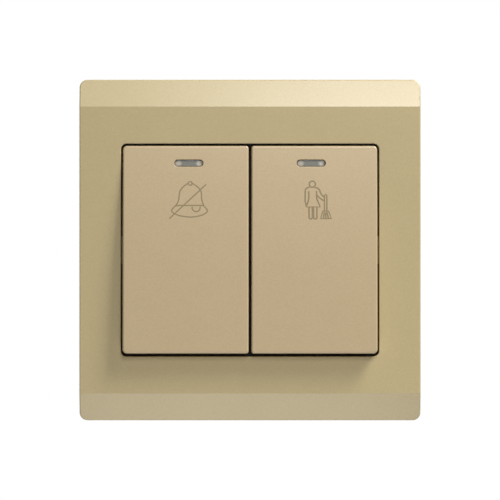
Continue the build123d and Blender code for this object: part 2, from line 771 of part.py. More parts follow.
def make_fixed_contact_tip(name, side):
    """Make the flat silver rivet that the moving tip closes on."""
    place = (side * mechanism_x, fixed_tip_z)
    with BuildPart(wall) as fixed_contact_tip:
        with Locations((*place, strip_front_height)):
            Cylinder(fixed_tip_radius, fixed_tip_height - strip_front_height, align=standing)
            Cylinder(rivet_radius, strip_thickness, align=hanging)
    write(fixed_contact_tip, f"fixed_contact_tip_{name}")


def make_terminal_block(name, side, end, kind):
    """Make one brass terminal with a bore for the wire, a screw hole and a peg for its strip."""
    x = side * mechanism_x
    screw_hole_length = terminal_end_z - wire_bore_z
    screw_hole_z = (terminal_end_z + wire_bore_z) / 2
    with BuildPart(wall) as terminal_block:
        with Locations((x, end * terminal_z, pocket_floor_height)):
            Box(terminal_width, terminal_length, terminal_depth, align=standing)
        with Locations((x, end * wire_bore_z, pocket_floor_height)):
            Cylinder(wire_bore_radius, wire_bore_depth, align=standing, mode=Mode.SUBTRACT)
        with Locations((x, end * screw_hole_z, terminal_screw_height)):
            Cylinder(terminal_screw_radius + thread_gap, screw_hole_length, rotation=along_z,
                     mode=Mode.SUBTRACT)
        with Locations((x, end * peg_z, deck_height)):
            Cylinder(peg_radius, strip_thickness + peg_proud, align=standing)
    write(terminal_block, f"{kind}_terminal_{name}")


def make_terminal_screw(name, side, end, kind):
    """Make the screw that clamps the wire in one terminal, backed off as supplied."""
    x = side * mechanism_x
    head_start = terminal_end_z + terminal_screw_head_gap
    head_end = head_start + terminal_screw_head_length
    tip_z = wire_bore_z + wire_bore_radius + terminal_screw_tip_gap
    with BuildPart(wall) as terminal_screw:
        with Locations((x, end * (head_start + head_end) / 2, terminal_screw_height)):
            Cylinder(terminal_screw_head_radius, terminal_screw_head_length, rotation=along_z)
        with Locations((x, end * (tip_z + head_start) / 2, terminal_screw_height)):
            Cylinder(terminal_screw_radius, head_start - tip_z, rotation=along_z)
        with Locations((x, end * head_end, terminal_screw_height)):
            Box(recess_width, 2 * recess_depth, 2 * terminal_screw_radius, mode=Mode.SUBTRACT)
            Box(2 * terminal_screw_radius, 2 * recess_depth, recess_width, mode=Mode.SUBTRACT)
    write(terminal_screw, f"{kind}_terminal_screw_{name}")


def make_indicator_board(name, side):
    """Make the small circuit board that holds the lamp, drilled for its pins."""
    board_width = board_outer_x - board_inner_x
    board_length = board_upper_z - board_lower_z
    board_x = side * (board_outer_x + board_inner_x) / 2
    board_z = (board_upper_z + board_lower_z) / 2
    with BuildPart(wall) as indicator_board:
        with BuildSketch(wall.offset(board_rear_height)):
            with Locations((board_x, board_z)):
                Rectangle(board_width, board_length)
            with Locations((side * pin_x, pin_z), (side * lead_x, lead_z)):
                Circle(wire_radius + pilot_gap, mode=Mode.SUBTRACT)
        extrude(amount=board_thickness)
    write(indicator_board, f"indicator_board_{name}")


def make_indicator_lamp(name, side):
    """Make the round-topped lamp that stands on the board behind the window."""
    place = (side * window_x, lamp_z)
    dome_height = lamp_height - lamp_radius
    with BuildPart(wall) as indicator_lamp:
        with Locations((*place, board_front_height)):
            Cylinder(lamp_flange_radius, lamp_flange_thickness, align=standing)
            Cylinder(lamp_radius, dome_height - board_front_height, align=standing)
        with Locations((*place, dome_height)):
            Sphere(lamp_radius)
    write(indicator_lamp, f"indicator_lamp_{name}")


def make_indicator_resistor(name, side):
    """Make the series resistor lying on the board, with its two bent leads."""
    x = side * resistor_x
    body_height = board_front_height + resistor_radius
    with BuildPart(wall) as indicator_resistor:
        with Locations((x, resistor_z, body_height)):
            Cylinder(resistor_radius, resistor_length, rotation=along_x)
            Cylinder(resistor_lead_radius, resistor_lead_span, rotation=along_x)
        with Locations((x, resistor_z, board_front_height)):
            with GridLocations(resistor_lead_span, 0, 2, 1):
                Cylinder(resistor_lead_radius, resistor_radius + resistor_lead_radius, align=standing)
    write(indicator_resistor, f"indicator_resistor_{name}")


def make_indicator_pin(name, side):
    """Make the straight pin from the board to the load strip."""
    pin_length = board_front_height + solder_height - strip_front_height
    with BuildPart(wall) as indicator_pin:
        with Locations((side * pin_x, pin_z, strip_front_height)):
            Cylinder(wire_radius, pin_length, align=standing)
    write(indicator_pin, f"indicator_pin_{name}")


def make_indicator_lead(name, side):
    """Make the bent wire from the board to the common strip's tab."""
    run_height = strip_front_height + wire_radius
    landing_z = -(stop_outer_z + lead_landing)
    with BuildPart() as indicator_lead:
        with BuildLine(side_view(wall, side * lead_x)) as route:
            FilletPolyline(
                (lead_z, board_front_height + solder_height),
                (lead_z, run_height),
                (landing_z, run_height),
                radius=lead_bend_radius,
            )
        with BuildSketch(Plane(origin=route.line @ 0, z_dir=route.line % 0)):
            Circle(wire_radius)
        sweep()
    write(indicator_lead, f"indicator_lead_{name}")


make_cover_frame()
make_support_frame()
make_mechanism_cover()
make_base_housing()
make_body_screws()
for name, side in sides:
    make_rocker(name, side)
    make_indicator_window(name, side)
    make_actuator(name, side)
    make_plunger(name, side)
    make_plunger_spring(name, side)
    make_moving_contact(name, side)
    make_moving_contact_tip(name, side)
    make_common_strip(name, side)
    make_load_strip(name, side)
    make_fixed_contact_tip(name, side)
    for kind, end in (("load", 1), ("common", -1)):
        make_terminal_block(name, side, end, kind)
        make_terminal_screw(name, side, end, kind)
    make_indicator_board(name, side)
    make_indicator_lamp(name, side)
    make_indicator_resistor(name, side)
    make_indicator_pin(name, side)
    make_indicator_lead(name, side)
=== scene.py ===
"""Looks of a double rocker light switch, built round its fixed frame.

The surround, the rockers, the indicator lenses and every mark are modelled here, and each finish is
made of shader nodes. Lengths are metres. X runs to the right, Y into the wall and Z up.
"""
import json
import logging
import math
from contextlib import contextmanager
from dataclasses import dataclass, replace
from enum import Enum, IntEnum
from typing import Callable, Iterator

import bmesh
import bpy
from mathutils import Matrix, Vector


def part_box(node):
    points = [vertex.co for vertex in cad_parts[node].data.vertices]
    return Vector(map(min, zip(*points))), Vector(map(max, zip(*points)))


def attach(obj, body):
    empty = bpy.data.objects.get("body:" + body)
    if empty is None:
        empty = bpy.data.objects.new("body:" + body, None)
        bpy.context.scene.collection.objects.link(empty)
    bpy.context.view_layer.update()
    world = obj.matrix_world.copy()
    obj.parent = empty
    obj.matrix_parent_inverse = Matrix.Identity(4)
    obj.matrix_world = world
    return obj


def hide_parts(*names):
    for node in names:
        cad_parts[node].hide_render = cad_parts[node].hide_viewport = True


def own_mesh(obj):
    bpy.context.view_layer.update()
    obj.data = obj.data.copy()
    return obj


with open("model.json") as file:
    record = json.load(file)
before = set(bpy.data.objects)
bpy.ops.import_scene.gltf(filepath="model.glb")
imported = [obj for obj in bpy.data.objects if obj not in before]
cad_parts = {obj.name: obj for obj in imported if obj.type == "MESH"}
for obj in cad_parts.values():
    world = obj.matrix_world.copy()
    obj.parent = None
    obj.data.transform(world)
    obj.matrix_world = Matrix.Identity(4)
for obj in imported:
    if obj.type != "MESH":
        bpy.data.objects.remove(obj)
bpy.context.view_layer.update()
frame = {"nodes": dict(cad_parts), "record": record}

log = logging.getLogger("light_switch")

MM = 0.001
SIDES = {"left": -1, "right": 1}
ENDS = (-1, 1)

# Two corners are one within DOUBLED, and one counts as off the middle from HAIR on.
DOUBLED = 0.0005 * MM
HAIR = 0.01 * MM
# Two faces are level up to the first angle, and the edge between them is sharp past the second.
LEVEL_ANGLE = 0.5
CREASE_ANGLE = 34.0
# Shares of a whole length: along an axis, towards the front, and still upright.
PARALLEL = 0.999
FACING = 0.9
UPRIGHT = 0.2
# The turns that lay an upright round block along an axis.
ALONG_X = (0, math.pi / 2, 0)
ALONG_Y = (math.pi / 2, 0, 0)

GANG_X = 12.125 * MM
ROCKER_FRONT = 10.5 * MM
WINDOW_PLACE = (15.4 * MM, 21.6 * MM)
BELL_PLACE = (-15.1 * MM, 12.26 * MM)
BELL_LINE = 0.33 * MM
SWEEPER_PLACE = (15.7 * MM, 12.26 * MM)

# The Mix node's sockets for numbers and for colours share their names, so they are found by place.
NUMBER_A, NUMBER_B, NUMBER_OUT = 2, 3, 0
COLOUR_A, COLOUR_B, COLOUR_OUT = 6, 7, 2
MASK_MIDDLE = 0.5
WHITE = (1.0, 1.0, 1.0, 1.0)

Colour = tuple[float, float, float, float]
Point = tuple[float, float]
Place = Vector | tuple[float, float, float]
Elements = bmesh.types.BMVertSeq | bmesh.types.BMEdgeSeq
Feed = bpy.types.NodeSocket | float

SLOT_OF = {part["node"]: part["material_slot"] for part in frame["record"]["subparts"]}
BODY_OF = {node: body for body, nodes in frame["record"]["behaviour"]["bodies"].items()
           for node in nodes}


def swatch(red: int, green: int, blue: int) -> Colour:
    """Turn a colour written from 0 to 255 into the linear light that a shader takes.

    Args:
        red: The red of the swatch.
        green: The green of the swatch.
        blue: The blue of the swatch.

    Returns:
        The colour with full alpha.
    """
    def linear(value: int) -> float:
        """Return one channel as linear light, by the sRGB curve."""
        share = value / 255
        return share / 12.92 if share <= 0.04045 else ((share + 0.055) / 1.055) ** 2.4

    return (linear(red), linear(green), linear(blue), 1.0)


# Modelling by hand


class Pick(Enum):
    """What is selected in edit mode."""

    CORNERS = "VERT"
    EDGES = "EDGE"
    FACES = "FACE"


class Axis(IntEnum):
    """The axis that an edge runs along."""

    X = 0
    Y = 1


class Join(Enum):
    """How one closed shape is combined with another."""

    CUT = "DIFFERENCE"
    ADD = "UNION"


class Effect(Enum):
    """The shared surface effects."""

    FLAKES = "metal_flakes"
    SKIN = "moulded_skin"
    ROLLED = "rolled_metal"


def make_active(piece: bpy.types.Object) -> None:
    """Select one piece alone and make it the active one.

    Args:
        piece: The piece to select.
    """
    if bpy.context.object and bpy.context.object.mode != "OBJECT":
        bpy.ops.object.mode_set(mode="OBJECT")
    bpy.ops.object.select_all(action="DESELECT")
    piece.select_set(True)
    bpy.context.view_layer.objects.active = piece


@contextmanager
def editing(piece: bpy.types.Object, pick: Pick) -> Iterator[bmesh.types.BMesh]:
    """Open a piece in edit mode with nothing selected, and close it afterwards.

    Args:
        piece: The piece to edit.
        pick: Whether corners, edges or faces are going to be selected.

    Yields:
        The open mesh, whose elements are selected in code.
    """
    make_active(piece)
    bpy.ops.object.mode_set(mode="EDIT")
    bpy.ops.mesh.select_mode(type=pick.value)
    bpy.ops.mesh.select_all(action="DESELECT")
    yield bmesh.from_edit_mesh(piece.data)
    bpy.ops.object.mode_set(mode="OBJECT")


def choose(piece: bpy.types.Object, items: Elements, wanted: Callable[..., bool]) -> None:
    """Select the corners, edges or faces of an open mesh that pass a test.

    Args:
        piece: The piece that is open in edit mode.
        items: The corners, edges or faces to choose from.
        wanted: The test that a chosen item passes.
    """
    for item in items:
        if wanted(item):
            item.select_set(True)
    bmesh.update_edit_mesh(piece.data)


def middle(edge: bmesh.types.BMEdge) -> Vector:
    """Return the middle of an edge."""
    return (edge.verts[0].co + edge.verts[1].co) / 2


def runs_along(edge: bmesh.types.BMEdge, axis: Axis) -> bool:
    """Say whether an edge is parallel to an axis."""
    run = edge.verts[1].co - edge.verts[0].co
    return abs(run[axis]) > PARALLEL * run.length


def block(name: str, low: Place, high: Place) -> bpy.types.Object:
    """Add a box between two corners, with its place in its mesh.

    Args:
        name: The name of the new piece.
        low: The lowest corner.
        high: The highest corner.

    Returns:
        The new piece.
    """
    low, high = Vector(low), Vector(high)
    bpy.ops.object.select_all(action="DESELECT")
    bpy.ops.mesh.primitive_cube_add(size=1, location=(low + high) / 2, scale=high - low)
    piece = bpy.context.object
    piece.name = name
    bpy.ops.object.transform_apply(location=True, rotation=True, scale=True)
    return piece


def disc(name: str, centre: Place, radius: float, depth: float, sides: int = 48,
         turn: tuple[float, float, float] = ALONG_Y) -> bpy.types.Object:
    """Add a round block that lies along Y or another axis, with its place in its mesh.

    Args:
        name: The name of the new piece.
        centre: The middle of the block.
        radius: Its radius.
        depth: Its length.
        sides: How many sides its rim has.
        turn: The turn that lays an upright block along its axis.

    Returns:
        The new piece.
    """
    bpy.ops.object.select_all(action="DESELECT")
    bpy.ops.mesh.primitive_cylinder_add(vertices=sides, radius=radius, depth=depth, location=centre,
                                        rotation=turn)
    piece = bpy.context.object
    piece.name = name
    bpy.ops.object.transform_apply(location=True, rotation=True, scale=True)
    return piece


def oblong(name: str, centre: Place, length: float, width: float, depth: float) -> bpy.types.Object:
    """Add a block with two round ends, stretched from a round one.

    Args:
        name: The name of the new piece.
        centre: The middle of the block.
        length: Its size along X, over the round ends.
        width: Its size along Z.
        depth: Its size along Y.

    Returns:
        The new piece.
    """
    piece = disc(name, centre, width / 2, depth)
    reach = (length - width) / 2
    for end in ENDS:
        with editing(piece, Pick.CORNERS) as mesh:
            choose(piece, mesh.verts, lambda v: end * (v.co.x - centre[0]) > HAIR)
            bpy.ops.transform.translate(value=(end * reach, 0, 0))
    return piece


def round_edges(piece: bpy.types.Object, wanted: Callable[..., bool], width: float,
                steps: int) -> None:
    """Round the edges that pass a test.

    Args:
        piece: The piece whose edges are rounded.
        wanted: The test that a rounded edge passes.
        width: The radius of the rounding.
        steps: How many strips the rounding has.
    """
    with editing(piece, Pick.EDGES) as mesh:
        choose(piece, mesh.edges, wanted)
        bpy.ops.mesh.bevel(offset=width, offset_type="OFFSET", segments=steps, affect="EDGES",
                           clamp_overlap=False)


def combine(piece: bpy.types.Object, tool: bpy.types.Object, how: Join) -> None:
    """Cut a closed shape out of a piece, or add it, and take the shape away.

    Args:
        piece: The piece that changes.
        tool: The closed shape that cuts it or is added.
        how: Whether the shape is cut out or added.
    """
    make_active(piece)
    change = piece.modifiers.new("combine", "BOOLEAN")
    change.operation = how.value
    change.solver = "EXACT"
    change.object = tool
    bpy.ops.object.modifier_apply(modifier=change.name)
    bpy.data.objects.remove(tool)


def add_block(piece: bpy.types.Object, low: Place, high: Place) -> None:
    """Add a plain block between two corners to a piece."""
    combine(piece, block("addition", low, high), Join.ADD)


def span(sign: int, first: float, second: float) -> Point:
    """Return two distances from the middle as the lower and the higher one, on the side of a sign."""
    low, high = sorted((sign * first, sign * second))
    return low, high


def weld(pieces: list[bpy.types.Object], name: str) -> bpy.types.Object:
    """Put several meshes together as one piece.

    Args:
        pieces: The meshes to put together.
        name: The name of the piece that they become.

    Returns:
        The one piece.
    """
    make_active(pieces[0])
    for other in pieces[1:]:
        other.select_set(True)
    bpy.ops.object.join()
    pieces[0].name = name
    return pieces[0]


def tidy_mesh(piece: bpy.types.Object, crease_angle: float = CREASE_ANGLE) -> None:
    """Merge doubled corners, point the faces outwards and smooth what is round.

    Args:
        piece: The piece to finish.
        crease_angle: The angle in degrees past which an edge stays sharp.
    """
    with editing(piece, Pick.CORNERS):
        bpy.ops.mesh.select_all(action="SELECT")
        bpy.ops.mesh.remove_doubles(threshold=DOUBLED)
        bpy.ops.mesh.normals_make_consistent(inside=False)
    make_active(piece)
    bpy.ops.object.shade_smooth_by_angle(angle=math.radians(crease_angle))
    even = piece.modifiers.new("even", "WEIGHTED_NORMAL")
    even.keep_sharp = True
    bpy.ops.object.modifier_apply(modifier=even.name)


@dataclass(frozen=True)
class Lie:
    """How a rocker lies: the gentle crown of its face, and its lean about the hinge line at rest."""

    hinge_y: float = -5.0 * MM
    lean: float = math.radians(-3.5)
    crown: float = 0.5 * MM
    crown_reach: float = 26.0 * MM
    crown_share: float = 0.4
    crown_from: float = -9.0 * MM

    def settle(self, piece: bpy.types.Object) -> None:
        """Crown what lies in front on a piece that was modelled flat, and lean the piece as at rest.

        Args:
            piece: The piece to crown and lean.
        """
        for corner in piece.data.vertices:
            if corner.co.y < self.crown_from:
                corner.co.y += self.crown * ((corner.co.z / self.crown_reach) ** 2 - self.crown_share)
        pivot = Matrix.Translation((0, self.hinge_y, 0))
        piece.data.transform(pivot @ Matrix.Rotation(self.lean, 4, "X") @ pivot.inverted())


# Shader nodes


class Shader:
    """The node tree of one finish, with short ways to add and join its nodes."""

    def __init__(self, name: str) -> None:
        """Start a material that holds one plain surface.

        Args:
            name: The name of the finish.
        """
        self.material = bpy.data.materials.new(name)
        self.material.use_nodes = True
        self.nodes = self.material.node_tree.nodes
        self.nodes.clear()
        self.surface = self.add("ShaderNodeBsdfPrincipled")
        self.output = self.add("ShaderNodeOutputMaterial")
        self.link(self.surface.outputs["BSDF"], self.output.inputs["Surface"])
        self.place = self.add("ShaderNodeTexCoord").outputs["Object"]

    def add(self, kind: str) -> bpy.types.Node:
        """Add a node of a kind and return it."""
        return self.nodes.new(kind)

    def link(self, source: bpy.types.NodeSocket, target: bpy.types.NodeSocket) -> None:
        """Join an output to an input."""
        self.material.node_tree.links.new(source, target)

    def number(self, kind: str, first: bpy.types.NodeSocket,
               second: float = 0.0) -> bpy.types.NodeSocket:
        """Work out one number from an output and a number.

        Args:
            kind: The kind of sum, such as ABSOLUTE.
            first: The output.
            second: The number, where the kind of sum takes one.

        Returns:
            The output that holds the result.
        """
        made = self.add("ShaderNodeMath")
        made.operation = kind
        self.link(first, made.inputs[0])
        made.inputs[1].default_value = second
        return made.outputs["Value"]

    def set(self, **values: float | Colour) -> None:
        """Set sockets of the surface, each named in lower case with _ for a space."""
        for name, value in values.items():
            self.surface.inputs[name.replace("_", " ").title()].default_value = value

    def effect(self, tree: bpy.types.NodeTree, place: bpy.types.NodeSocket,
               **values: float | Colour) -> bpy.types.Node:
        """Place a shared effect with its own values.

        Args:
            tree: The node group of the effect.
            place: The coordinates that it reads.
            values: Its inputs, each named in lower case.

        Returns:
            The node that holds the effect.
        """
        node = self.add("ShaderNodeGroup")
        node.node_tree = tree
        self.link(place, node.inputs["Place"])
        for name, value in values.items():
            node.inputs[name.capitalize()].default_value = value
        return node

    def stretched(self, scale: tuple[float, float, float]) -> bpy.types.NodeSocket:
        """Stretch the object's coordinates along its axes.

        Args:
            scale: How far they are stretched along X, Y and Z.

        Returns:
            The stretched coordinates.
        """
        mapping = self.add("ShaderNodeMapping")
        self.link(self.place, mapping.inputs["Vector"])
        mapping.inputs["Scale"].default_value = scale
        return mapping.outputs["Vector"]

    def bump(self, height: bpy.types.NodeSocket, strength: float, distance: float) -> None:
        """Raise the surface by a height.

        Args:
            height: The output that holds the height.
            strength: How much of it shows, from 0 to 1.
            distance: How far a height of 1 rises, in metres.
        """
        node = self.add("ShaderNodeBump")
        node.inputs["Strength"].default_value = strength
        node.inputs["Distance"].default_value = distance
        self.link(height, node.inputs["Height"])
        self.link(node.outputs["Normal"], self.surface.inputs["Normal"])


class EffectTree:
    """A shader node group that more than one finish places."""

    sockets: dict[str, dict[str, str]] = {
        "INPUT": {"Place": "NodeSocketVector", "Scale": "NodeSocketFloat",
                  "Roughness": "NodeSocketFloat", "Spread": "NodeSocketFloat",
                  "Dark": "NodeSocketColor", "Light": "NodeSocketColor"},
        "OUTPUT": {"Colour": "NodeSocketColor", "Roughness": "NodeSocketFloat",
                   "Height": "NodeSocketFloat"},
    }

    def __init__(self, effect: Effect) -> None:
        """Start a group, with the inputs and outputs that every effect has.

        Args:
            effect: The effect that the group gives.
        """
        self.tree = bpy.data.node_groups.new(effect.value, "ShaderNodeTree")
        for way, kinds in self.sockets.items():
            for label, kind in kinds.items():
                self.tree.interface.new_socket(label, in_out=way, socket_type=kind)
        self.inputs = self.tree.nodes.new("NodeGroupInput").outputs
        self.outputs = self.tree.nodes.new("NodeGroupOutput").inputs

    def feed(self, value: Feed, socket: bpy.types.NodeSocket) -> None:
        """Join an output to an input, or set the input to a number.

        Args:
            value: The output or the number.
            socket: The input.
        """
        if isinstance(value, bpy.types.NodeSocket):
            self.tree.links.new(value, socket)
        else:
            socket.default_value = value

    def node(self, kind: str, **joins: Feed) -> bpy.types.Node:
        """Add a node.

        Args:
            kind: The kind of node.
            joins: What its inputs are joined or set to, each named in lower case.

        Returns:
            The new node.
        """
        made = self.tree.nodes.new(kind)
        for name, value in joins.items():
            self.feed(value, made.inputs[name.title()])
        return made

    def noise(self, scale: Feed, detail: float) -> bpy.types.NodeSocket:
        """Return soft noise at a scale, with as many finer layers as its detail says."""
        return self.node("ShaderNodeTexNoise", vector=self.inputs["Place"], scale=scale,
                         detail=detail).outputs["Fac"]

    def sum(self, kind: str, first: Feed, second: Feed) -> bpy.types.NodeSocket:
        """Work out one number from two.

        Args:
            kind: The kind of sum, such as MULTIPLY.
            first: The first number.
            second: The second number.

        Returns:
            The output that holds the result.
        """
        made = self.tree.nodes.new("ShaderNodeMath")
        made.operation = kind
        self.feed(first, made.inputs[0])
        self.feed(second, made.inputs[1])
        return made.outputs["Value"]

    def mix(self, first: Feed, second: Feed, share: float) -> bpy.types.NodeSocket:
        """Mix two numbers.

        Args:
            first: The first number.
            second: The second number.
            share: The share of the second, from 0 to 1.

        Returns:
            The output that holds the mixed number.
        """
        made = self.node("ShaderNodeMix", factor=share)
        self.feed(first, made.inputs[NUMBER_A])
        self.feed(second, made.inputs[NUMBER_B])
        return made.outputs[NUMBER_OUT]

    def finish(self, share: Feed, mask: Feed, height: Feed) -> bpy.types.NodeTree:
        """Join what the group gives.

        Args:
            share: How much of the light colour there is in the colour, from 0 to 1.
            mask: What the roughness swings with, as far as the group's spread says.
            height: The height of the surface.

        Returns:
            The finished group.
        """
        colour = self.node("ShaderNodeMix")
        colour.data_type = "RGBA"
        self.feed(share, colour.inputs["Factor"])
        self.feed(self.inputs["Dark"], colour.inputs[COLOUR_A])
        self.feed(self.inputs["Light"], colour.inputs[COLOUR_B])
        self.feed(colour.outputs[COLOUR_OUT], self.outputs["Colour"])
        swing = self.sum("MULTIPLY", self.sum("SUBTRACT", mask, MASK_MIDDLE), self.inputs["Spread"])
        self.feed(self.sum("ADD", swing, self.inputs["Roughness"]), self.outputs["Roughness"])
        self.feed(height, self.outputs["Height"])
        return self.tree


def flake_effect() -> bpy.types.NodeTree:
    """Make the sparkle of fine metal flakes in a lacquer, and the lacquer's faint waves.

    Returns:
        A group whose roughness differs from flake to flake.
    """
    made = EffectTree(Effect.FLAKES)
    cells = made.node("ShaderNodeTexVoronoi", vector=made.inputs["Place"], scale=made.inputs["Scale"])
    glint = made.node("ShaderNodeSeparateColor", color=cells.outputs["Color"]).outputs["Red"]
    clouds = made.noise(scale=90.0, detail=2.0)
    waves = made.noise(scale=700.0, detail=1.0)
    return made.finish(made.mix(glint, clouds, share=0.4), mask=glint, height=waves)


def skin_effect() -> bpy.types.NodeTree:
    """Make the fine spark-eroded skin of a moulding, over the soft patches of its flow.

    Returns:
        A group whose height is the skin's.
    """
    made = EffectTree(Effect.SKIN)
    pits = made.noise(scale=made.inputs["Scale"], detail=3.0)
    flow = made.noise(scale=60.0, detail=3.0)
    return made.finish(made.mix(pits, flow, share=0.6), mask=flow, height=pits)


def rolled_effect() -> bpy.types.NodeTree:
    """Make the drawn lines and cloudy patches of rolled or plated metal.

    Returns:
        A group whose height is the lines'.
    """
    made = EffectTree(Effect.ROLLED)
    lines = made.noise(scale=made.inputs["Scale"], detail=4.0)
    clouds = made.noise(scale=45.0, detail=4.0)
    return made.finish(made.mix(lines, clouds, share=0.5), mask=clouds, height=lines)


@dataclass(frozen=True)
class Finish:
    """A surface with a shared effect on it: its colours, its gloss and its relief."""

    name: str
    dark: Colour
    light: Colour
    effect: Effect
    metallic: float = 0.0
    roughness: float = 0.5
    spread: float = 0.08
    scale: float = 2500.0
    stretch: tuple[float, float, float] = (1.0, 1.0, 1.0)
    relief: float = 0.1
    relief_depth: float = 0.01 * MM
    coat: float = 0.0
    coat_roughness: float = 0.1
    specular: float = 0.5
    transmission: float = 0.0
    ior: float = 1.5

    def build(self, effects: dict[Effect, bpy.types.NodeTree]) -> bpy.types.Material:
        """Make the material.

        Args:
            effects: The shared node groups.

        Returns:
            The finished material.
        """
        shader = Shader(self.name)
        shader.set(metallic=self.metallic, coat_weight=self.coat, coat_roughness=self.coat_roughness,
                   transmission_weight=self.transmission)
        shader.surface.inputs["IOR"].default_value = self.ior
        shader.surface.inputs["Specular IOR Level"].default_value = self.specular
        look = shader.effect(effects[self.effect], shader.stretched(self.stretch), scale=self.scale,
                             roughness=self.roughness, spread=self.spread, dark=self.dark,
                             light=self.light)
        shader.link(self.colour(shader, look), shader.surface.inputs["Base Color"])
        shader.link(look.outputs["Roughness"], shader.surface.inputs["Roughness"])
        shader.bump(look.outputs["Height"], self.relief, self.relief_depth)
        return shader.material

    def colour(self, shader: Shader, look: bpy.types.Node) -> bpy.types.NodeSocket:
        """Return the colour of the surface, which is the effect's own."""
        return look.outputs["Colour"]


@dataclass(frozen=True)
class LensFinish(Finish):
    """A clear window painted grey for the dark inside that shows through it, with a painted highlight
    near each of its two ends.
    """

    # The colour of the painted highlights near the ends, and where and how wide they are.
    pale: Colour = swatch(214, 206, 188)
    centre_x: float = WINDOW_PLACE[0]
    highlight_spot: Point = (2.65 * MM, 21.85 * MM)
    highlight_core: float = 0.2 * MM
    highlight_reach: float = 1.15 * MM

    def colour(self, shader: Shader, look: bpy.types.Node) -> bpy.types.NodeSocket:
        """Blend the effect's colour with the pale colour of the painted highlights, by the distance
        from the nearer highlight's middle.

        Args:
            shader: The material that is made.
            look: The node of the shared effect.

        Returns:
            The blended colour.
        """
        place = shader.add("ShaderNodeSeparateXYZ")
        shader.link(shader.place, place.inputs["Vector"])
        across = shader.number("ABSOLUTE", place.outputs["X"])
        from_centre = shader.number("ABSOLUTE", shader.number("SUBTRACT", across, self.centre_x))
        folded = shader.add("ShaderNodeCombineXYZ")
        shader.link(from_centre, folded.inputs["X"])
        shader.link(place.outputs["Z"], folded.inputs["Z"])
        distance = shader.add("ShaderNodeVectorMath")
        distance.operation = "DISTANCE"
        shader.link(folded.outputs["Vector"], distance.inputs[0])
        distance.inputs[1].default_value = (self.highlight_spot[0], 0, self.highlight_spot[1])
        # Painted highlight: the pale colour is whole within each highlight's core and fades out by its
        # reach.
        share = shader.add("ShaderNodeMapRange")
        share.interpolation_type = "SMOOTHSTEP"
        shader.link(distance.outputs["Value"], share.inputs["Value"])
        share.inputs["From Min"].default_value = self.highlight_reach
        share.inputs["From Max"].default_value = self.highlight_core
        blend = shader.add("ShaderNodeMix")
        blend.data_type = "RGBA"
        shader.link(share.outputs["Result"], blend.inputs["Factor"])
        shader.link(look.outputs["Colour"], blend.inputs[COLOUR_A])
        blend.inputs[COLOUR_B].default_value = self.pale
        return blend.outputs[COLOUR_OUT]


GOLD_LACQUER = Finish("gold_lacquer", swatch(168, 151, 109), swatch(180, 163, 120), Effect.FLAKES,
                      metallic=0.04, roughness=0.5, spread=0.06, scale=5000, relief=0.05, coat=1.0,
                      coat_roughness=0.26, specular=0.3)

FINISHES = (
    GOLD_LACQUER,
    replace(GOLD_LACQUER, name="rocker_lacquer", dark=swatch(168, 147, 111),
            light=swatch(180, 159, 122)),
    Finish("white_plastic", swatch(224, 224, 218), swatch(233, 233, 228), Effect.SKIN, roughness=0.48,
           relief=0.12),
    # Dark moulding that shows through the gaps round the rockers: its own colour, and also painted
    # shade that keeps the gaps dark.
    Finish("dark_plastic", swatch(48, 44, 40), swatch(58, 54, 50), Effect.SKIN, roughness=0.55,
           relief=0.15),
    Finish("grey_plastic", swatch(196, 197, 194), swatch(208, 209, 206), Effect.SKIN, roughness=0.55,
           relief=0.2),
    # Blackened steel that shows through the rocker gaps: its own finish, and also painted shade that
    # keeps the gaps dark.
    Finish("black_steel", swatch(44, 43, 41), swatch(62, 60, 57), Effect.ROLLED, metallic=0.6,
           roughness=0.42, spread=0.2, scale=260, stretch=(1, 1, 14), relief=0.12),
    Finish("plated_steel", swatch(176, 180, 184), swatch(206, 209, 212), Effect.ROLLED, metallic=1.0,
           roughness=0.34, spread=0.2, scale=260, stretch=(1, 1, 14), relief=0.15),
    Finish("spring_steel", swatch(128, 130, 132), swatch(160, 162, 164), Effect.ROLLED, metallic=1.0,
           roughness=0.28, scale=900),
    Finish("brass", swatch(200, 164, 94), swatch(210, 176, 106), Effect.ROLLED, metallic=1.0,
           roughness=0.26, spread=0.16, scale=700, stretch=(1, 12, 1), relief=0.06),
    Finish("copper_alloy", swatch(190, 128, 92), swatch(214, 152, 114), Effect.ROLLED, metallic=1.0,
           roughness=0.3, spread=0.18, scale=300, stretch=(8, 1, 1)),
    Finish("silver_contact", swatch(206, 206, 202), swatch(226, 226, 222), Effect.ROLLED, metallic=1.0,
           roughness=0.2, spread=0.1, scale=500),
    Finish("circuit_board", swatch(26, 92, 52), swatch(34, 108, 62), Effect.SKIN, roughness=0.35,
           coat=0.3, coat_roughness=0.2),
    Finish("lamp_lens", swatch(214, 220, 212), swatch(226, 232, 224), Effect.SKIN, roughness=0.08,
           spread=0.03, transmission=0.7, relief=0.01),
    Finish("resistor_body", swatch(196, 168, 122), swatch(208, 180, 134), Effect.SKIN, roughness=0.3,
           coat=0.4, coat_roughness=0.15),
    Finish("brown_band", swatch(86, 52, 34), swatch(98, 62, 42), Effect.SKIN, roughness=0.35),
    Finish("black_band", swatch(30, 29, 28), swatch(38, 37, 36), Effect.SKIN, roughness=0.35),
    Finish("yellow_band", swatch(206, 176, 52), swatch(216, 186, 62), Effect.SKIN, roughness=0.35),
    Finish("gilt_band", swatch(176, 142, 70), swatch(194, 160, 86), Effect.ROLLED, metallic=0.7,
           roughness=0.35),
    Finish("tinned_wire", swatch(188, 190, 190), swatch(208, 210, 210), Effect.ROLLED, metallic=1.0,
           roughness=0.25, scale=600),
    Finish("printed_ink", swatch(124, 109, 79), swatch(132, 117, 86), Effect.SKIN, metallic=0.1,
           roughness=0.5, relief=0.05),
    # Painted shade: the clear window's grey stands in for the dark inside seen through the clear
    # plastic.
    LensFinish("clear_window", swatch(126, 126, 117), swatch(142, 142, 133), Effect.SKIN,
               roughness=0.16, spread=0.04, transmission=0.3, relief=0.02, coat=0.5,
               coat_roughness=0.08, ior=1.49),
)


